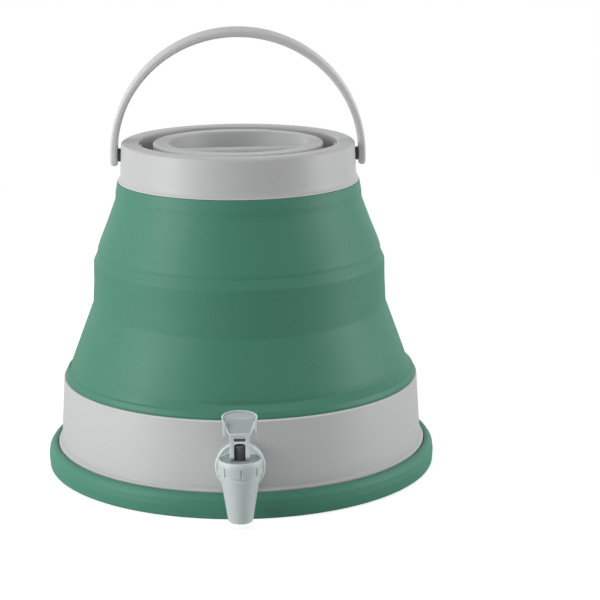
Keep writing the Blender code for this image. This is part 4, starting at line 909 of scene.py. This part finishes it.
TO_SIDE = Matrix.Rotation(math.pi / 2, 4, "Z") @ LEAN_FORWARD
PADDLE_PLACE = (AT_PIN @ Matrix.Translation((0, (-ARM_HALF + 1.2) * MM, ARM_RISE * MM))
                @ Matrix.Rotation(math.pi / 2 - PADDLE_LEAN, 4, "X"))
lever_parts = [moved(paddle_surface(), PADDLE_PLACE)]
arm = plate(arm_outline(), ARM_THICK * MM, ARM_EDGE * MM, ARM_EDGE_LIGHT)
for side in (-1, 1):
    arm_place = AT_PIN @ Matrix.Translation((side * ARM_PLACE * MM, 0, 0)) @ TO_SIDE
    lever_parts.append(paint_light(moved(arm, arm_place), ARM_LIGHT))
    tab = rounded_box((side * TAB_PLACE - TAB_HALF, -0.5, 11.6), (side * TAB_PLACE + TAB_HALF, 3, 22),
                      BLOCK_EDGE, BRIDGE_LIGHT)
    lever_parts.append(paint_light(moved(tab, AT_PIN), TAB_LIGHT))
bridge = rounded_box((-7.2, -3.45, 10.5), (7.2, 3.4, 13.6), BLOCK_EDGE, BRIDGE_LIGHT)
lever_parts.append(moved(bridge, AT_PIN))
lever = build("tap_push_lever", lever_parts)
dress(lever, tap_grey, ["tap_lever"], "lever")

# A dark block under the bridge, between the arms: painted shade standing in for the shade there.
lever_shade = build("tap_lever_painted_shade", [moved(rounded_box((-4.4, -1.6, 7.9), (4.4, 2.4, 10.7), 0.3), AT_PIN)])
lever_shade.data.materials.append(dark)
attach(lever_shade, "lever")

# %% [markdown]
# ## The pieces that stay as they are
# Seal, seat cup, gaskets and nut are hidden or nearly so, and their solids have the right shape.
# They keep their CAD meshes and only get the finishes made above.

# %% Finishes for the carried nodes
for node, material in (("lid_seal", clear), ("tap_seat_cup", clear), ("tap_outer_gasket", clear),
                       ("tap_inner_gasket", clear), ("tap_nut", tap_grey)):
    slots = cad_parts[node].material_slots
    slots[0].material = material
print("carried nodes finished")

# %% [markdown]
# ## Floor and light
# A pale floor runs past the picture's edges. To the camera its colour is lifted to white, which keeps
# the soft contact shadow without more light on the object. A big soft light from the left models the
# round body, a weaker one from the right lifts the far side, and the dark band between them is what
# makes the cone read as round. The world is a quiet grey, and white only for the camera and mirrors.

# %% Floor
FLOOR_RADIUS, FLOOR_THICK, FLOOR_LIFT = 1300, 4, 0.6
floor_outline = soften([(0, 0, 0), (FLOOR_RADIUS, 0, 1), (FLOOR_RADIUS, -FLOOR_THICK, 1),
                        (0, -FLOOR_THICK, 0)])
floor = build("studio_floor", [turned(floor_outline)])
pale = bpy.data.materials.new("pale_floor")
pale.use_nodes = True
tree = pale.node_tree
shader = tree.nodes["Principled BSDF"]
shader.inputs["Base Color"].default_value = (0.9, 0.9, 0.9, 1)
shader.inputs["Roughness"].default_value = 0.9
shader.inputs["Specular IOR Level"].default_value = 0
shader.inputs["Emission Color"].default_value = (1, 1, 1, 1)
seen = tree.nodes.new("ShaderNodeLightPath")
lift = calculate(tree, "MULTIPLY", seen.outputs["Is Camera Ray"], FLOOR_LIFT)
tree.links.new(lift, shader.inputs["Emission Strength"])
floor.data.materials.append(pale)


# %% Lights
AMBIENT = 0.165
MIDDLE = (0, 0, 0.15)


def softbox(name, place, target, size, power):
    """A rectangular area light that looks at the target."""
    data = bpy.data.lights.new(name, "AREA")
    data.shape = "RECTANGLE"
    data.size, data.size_y = size
    data.energy = power
    light = bpy.data.objects.new(name, data)
    light.location = place
    light.rotation_euler = (Vector(target) - Vector(place)).to_track_quat("-Z", "Y").to_euler()
    bpy.context.scene.collection.objects.link(light)


softbox("key_left", (-2.07, -0.92, 0.58), MIDDLE, (0.9, 1.9), 46)
softbox("fill_right", (2.2, -0.12, 0.5), MIDDLE, (0.8, 1.8), 30)
softbox("top_soft", (0, 0.1, 2.2), MIDDLE, (1.6, 1.6), 11)

world = bpy.data.worlds.new("studio_world")
bpy.context.scene.world = world
world.use_nodes = True
tree = world.node_tree
sky = tree.nodes["Background"]
seen = tree.nodes.new("ShaderNodeLightPath")
direct = calculate(tree, "MAXIMUM", seen.outputs["Is Camera Ray"], seen.outputs["Is Glossy Ray"])
direct = calculate(tree, "MAXIMUM", direct, seen.outputs["Is Transmission Ray"])
share = calculate(tree, "MULTIPLY", direct, 1 - AMBIENT)
strength = calculate(tree, "ADD", share, AMBIENT)
sky.inputs["Color"].default_value = (1, 1, 1, 1)
tree.links.new(strength, sky.inputs["Strength"])
